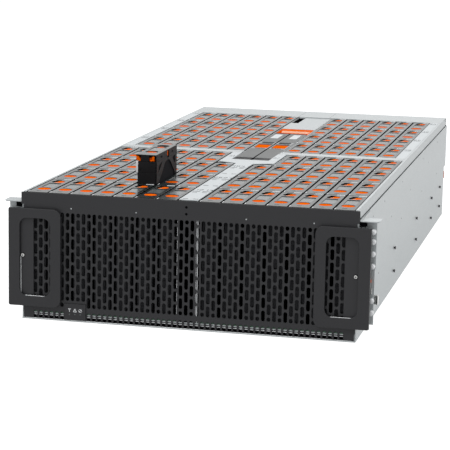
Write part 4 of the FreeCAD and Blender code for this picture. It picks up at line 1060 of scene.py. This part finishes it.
def expander_faces():
    """Plates, dark trim with pitch-black lines of painted shade in its gaps, and a blank label on top
    of the two expanders.
    """
    top = CARRIER_TOP
    plates = Shape()
    for y0, y1 in ((405.0, 501.0), (581.5, 676.0)):
        plates.place(block(1.0, 27.0, y0, y1, top - 1.0, top + 0.12, 0.3, 1.2))
    dip = rect(1.2, 26.4, EXPANDER_START + 3.0, EXPANDER_START + 27.0, 3.0, 4)
    trim = prism(dip, top - 1.5, top - 0.3, "z", 0.7)
    for x0, x1, y0, y1, rise, edge, mat in EXPANDER_TRIM:
        trim.place(block(x0, x1, y0, y1, top - 1.0, top + rise, edge, mat=mat))
    label = prism(rect(9.0, 21.5, 623.0, 671.0, 0.6, 2), top + 0.1, top + 0.2, "z", 0.0)
    for name, side in (("a", -1), ("b", 1)):
        for kind, shape, mats, slot in (("plates", plates, [EXPANDER], "module_grey"),
                                        ("trim", trim, [CARRIER, SHADE_BLACK], "carrier_black"),
                                        ("label", label, [LABEL], "pale_strip")):
            piece("expander_%s_%s" % (kind, name), Shape().place(shape, flip_x=side < 0), mats,
                  body="expander_" + name)


BAIL_HALF = 26.8


def bail_piece():
    """Orange bail of the centre bay: the grip, the ramp before it in a paler orange as a painted
    reflection, and two hinged arms.
    """
    half = BAIL_HALF
    s = block(-half, half, 738.0, BAIL_END, 165.4, 169.0, 0.9, 1.5)
    # The ramp takes the paler orange of a painted reflection.
    s.place(prism([(725.0, 165.2), (739.0, 168.2), (739.0, 165.2)], -half, half, "x", 0.2, mat=1))
    s.place(block(-half, half, 723.6, 726.0, 165.0, 166.0, 0.3))
    arm = block(24.3, half, 697.0, 739.0, 165.0, 168.6, 0.4)
    arm.place(prism(circle(699.0, 167.0, 1.0, 14), 26.0, 27.9, "x", 0.1))
    s.place(mirror_pair(arm))
    piece("bail_grip", s, [ORANGE, SHEEN_ORANGE], body="center_bail", stands_for="center_bail")


RECESS_FLOOR = 167.6
PLATE_TOP = 169.5               # centre plate round the recess


def rear_top():
    """Cable recess in the centre plate, its floor pitch black as painted shade, and fold lines of the
    rear cover drawn as dark lines of painted shade.
    """
    x0, y0, y1 = -27.6, RECESS_START, REAR_END - 0.4
    loop = rect(x0, RECESS_IN, y0, y1, 2.0, 3)
    # Pitch-black floor: painted shade in the recess.
    floor = prism(loop, RECESS_FLOOR, RECESS_FLOOR + 0.5, "z", 0.0)
    piece("recess_floor", floor, SHADE_BLACK)
    rim = block(RECESS_IN - 0.6, RECESS_IN + 0.4, y0, y1, RECESS_FLOOR, PLATE_TOP + 0.2, 0.2)
    rim.place(block(x0, RECESS_IN, REAR_END - 2.4, REAR_END - 0.6, RECESS_FLOOR, PLATE_TOP + 0.8, 0.5))
    piece("recess_rim", rim, SHEET)
    # Fold lines drawn in the print grey: painted shade along the folds.
    folds = Shape()
    for x in (-29.0, 26.0):
        line = rect(x - 0.25, x + 0.25, REAR_END + 0.4, REAR_END + 70.0)
        folds.place(prism(line, TOP, TOP + INK_DEPTH, "z", 0.0))
    piece("cover_folds", folds, INK)


expander_faces()
bail_piece()
rear_top()

# ------------------------------ lifted carrier

LIFTED_X, LIFTED_Y = corner_of(FRONT_INNER, FRONT_ROW_START, LIFTED_COLUMN, LIFTED_ROW, -1)
GAP_START, GAP_END = 58.0, 68.0     # opening in the middle of the cap's side and of the frame
DRIVE_W, DRIVE_L = 26.1, 101.6


def lifted(shape):
    """The shape, drawn from a carrier's own corner, at the lifted carrier."""
    return Shape().place(shape, LIFTED_X, LIFTED_Y, LIFT)


def both_ends(shape):
    """The shape at the carrier's front end and its mirror image at the rear end."""
    return Shape().place(shape).place(shape, y=CARRIER_L, flip_y=True)


def lifted_cap():
    """Cap of the lifted carrier, closed under its finger holes by a floor and partitions in pitch black
    as painted shade.
    """
    mid = CARRIER_W / 2
    z1 = CARRIER_TOP
    z0 = z1 - 1.5
    low = z1 - CAP_HEIGHT
    high = z0 + 0.1
    x0, x1 = 1.6, CARRIER_W - 1.6
    outline = rect(0, CARRIER_W, 0, CARRIER_L, 1.0, 2)
    holes = [circle(mid, y, FINGER_R, 36)[::-1] for y in (FINGER_FRONT, FINGER_REAR)]
    recess = rect(mid - 9, mid + 9, FINGER_FRONT + 11.75, FINGER_REAR - 11.75, 0.8, 2)
    s = sheet_cut([outline] + holes + [recess[::-1]], z0, z1, "z", 0.35, 2)
    s.place(prism(recess, z0, z1 - 0.7, "z", 0.0, 2))
    s.place(block(1.5, CARRIER_W - 1.5, CARRIER_L / 2 - 1, CARRIER_L / 2 + 1, low, z0, 0.1, mat=1))
    # Floor and partitions in pitch black (material 3): painted shade under the finger holes.
    s.place(block(x0, x1, 8.5, CARRIER_L - 8.5, low + 0.02, low + 0.35, 0.05, mat=3))
    for y in (7.8, CARRIER_L - 8.4):
        for a, b, c, d in ((x0, mid - 7.7, low + 0.1, z0 - 0.1), (mid + 7.7, x1, low + 0.1, z0 - 0.1),
                           (mid - 7.8, mid + 7.8, low + 0.1, z1 - 6.0),
                           (mid - 7.8, mid + 7.8, z1 - 3.8, z0 - 0.1)):
            s.place(block(a, b, y, y + 0.6, c, d, 0.05, mat=3))
    s.place(prism(rect(0.0, 1.5, 8.0, CARRIER_L - 8.0), low, high, "z", 0.15, 1))
    for y0, y1 in ((0.0, GAP_START), (GAP_END, CARRIER_L)):
        s.place(block(CARRIER_W - 1.5, CARRIER_W, y0, y1, low, high, 0.25, mat=1))
    end = block(7.2, 18.5, 0.0, 1.5, low, high, 0.25, mat=1)
    end.place(block(27.0, CARRIER_W, 0.0, 1.5, low, high, 0.25, mat=1))
    s.place(both_ends(end))
    for y in (28.0, 86.0):
        slot = rect(y - 4.5, y + 3.5, z1 - 7.0, z1 - 4.6, 1.0, 2)
        s.place(prism(slot, CARRIER_W - 0.1, CARRIER_W, "x", 0.0, 1))
    s.paint(lambda centre, normal: 1 if normal.z < 0.3 and centre.z < z1 - 0.3 else None)
    piece("lifted_cap", lifted(s), [CAP, CARRIER, RECESS, SHADE_BLACK], body="lifted_carrier",
          stands_for="carrier_cap")


def pinch_latches():
    """Orange latches at the ends of the lifted carrier: hook, post, cross bar and finger pad."""
    mid = CARRIER_W / 2
    z1 = CARRIER_TOP
    low = z1 - 9.1
    hook = [(0.35, z1 - 2.2), (3.2, z1 - 2.2), (4.6, z1 - 4.4), (6.6, z1 - 6.4), (6.6, low),
            (4.4, low), (0.35, z1 - 7.4)]
    latch = prism(hook, 0.4, 5.8, "y", 0.5)
    latch.place(block(22.5, 26.2, 0.4, 5.8, low, z1 - 2.1, 0.7))
    latch.place(block(19.5, 26.2, 0.4, 5.8, low, z1 - 7.5, 0.6))
    latch.place(block(0.8, 26.0, 3.9, 5.9, z1 - 8.8, z1 - 4.3, 0.4))
    latch.place(block(mid - 7.4, mid + 7.4, 4.4, FINGER_FRONT + 8.0, z1 - 5.7, z1 - 4.1, 0.4))
    latch.place(pad_shape(False, 7.1, -7.0, 6.7, crown=-0.02), mid, FINGER_FRONT + 0.1)
    back = Shape().place(latch, y=CARRIER_L, flip_y=True)
    back.place(block(mid, 26.7, 61.2, 73.0, z1 - 5.7, z1 - 4.3, 0.3))
    back.place(block(25.2, 28.2, 61.1, 63.9, low, z1 - 2.1, 0.4))
    for end, shape in (("front", latch), ("rear", back)):
        body = "carrier_latch_" + end
        piece("pinch_latch_" + end, lifted(shape), ORANGE, body=body, stands_for=body)


def lifted_frame():
    """Frame of the lifted carrier, cut out along its right side, and the drive that it holds."""
    z1 = CARRIER_TOP
    low = CARRIER_BOTTOM
    high = z1 - CAP_HEIGHT
    side = [(0.0, low), (CARRIER_L, low), (CARRIER_L, high), (GAP_END, high), (GAP_END, high - 2.3),
            (GAP_START, high - 2.3), (GAP_START, high), (0.0, high)]

    def hole(*points):
        """Clockwise outline from points whose heights start at the carrier's top."""
        loop = [(a, z1 + b) for a, b in points]
        return loop if area(loop) < 0 else loop[::-1]

    holes = [hole((33, -12.5), (14, -17), (14, -26)), hole((86, -14.5), (100, -13), (100, -25)),
             hole((24, -34), (46, -17), (54, -15), (64, -14.5), (72, -16), (99, -36), (99, -50),
                  (18, -50), (18, -38))]
    y0, y1 = 9.0, CARRIER_L - 9.0
    ym = (y0 + y1) / 2
    step = (z1 - low - 55.0 - 8.0) / 3
    for i in range(3):
        a = 8.0 + i * step + 2.5 + low - z1
        b = a + step - 5.0
        holes += [hole((y0, a), (ym - 5, a), (y0, b)), hole((y1, a), (y1, b), (ym + 5, a)),
                  hole((y0 + 5, b), (ym, a + 2.5), (y1 - 5, b))]
    s = sheet_cut([side] + holes, CARRIER_W - 1.1, CARRIER_W, "x", 0.25, 2)
    knee = z1 - 25.0
    post = block(3.4, CARRIER_W, 0.0, 4.0, knee, high, 0.5)
    post.place(block(2.6, CARRIER_W, 0.0, 4.0, low, knee, 0.5))
    for a, b, c, d in ((4.2, 9.2, 19.6, 19.0), (5.6, 6.2, 23.6, 19.2), (18.4, 26.4, 11.2, 10.7)):
        post.place(block(a, b, 0.0, 0.4, z1 - c, z1 - d, 0.1, mat=1))
    s.place(both_ends(post))
    s.place(block(0.0, CARRIER_W, 0.0, CARRIER_L, low, low + 1.5, 0.3))
    piece("lifted_frame", lifted(s), [CARRIER, DARK_STEEL], body="lifted_carrier",
          stands_for="carrier_frame")
    x0 = CARRIER_W - 1.2 - DRIVE_W
    d0 = (CARRIER_L - DRIVE_L) / 2
    d = block(x0, x0 + 26.0, d0, d0 + DRIVE_L, low + 1.6, low + 148.6, 1.0, 2.0)
    d.paint(lambda centre, normal: 1 if normal.x > 0.5 else None)
    d.place(block(0.3, 3.2, 0.4, 4.6, z1 - 25.2, high - 0.2, 0.4, mat=2))
    d.place(block(0.3, 3.2, CARRIER_L - 4.6, CARRIER_L - 1.2, z1 - 25.2, high - 0.2, 0.4))
    piece("lifted_drive", lifted(d), [DRIVE, DEEP, ZINC_AND_HIGHLIGHT], body="lifted_carrier",
          stands_for="carrier_drive")


lifted_cap()
pinch_latches()
lifted_frame()
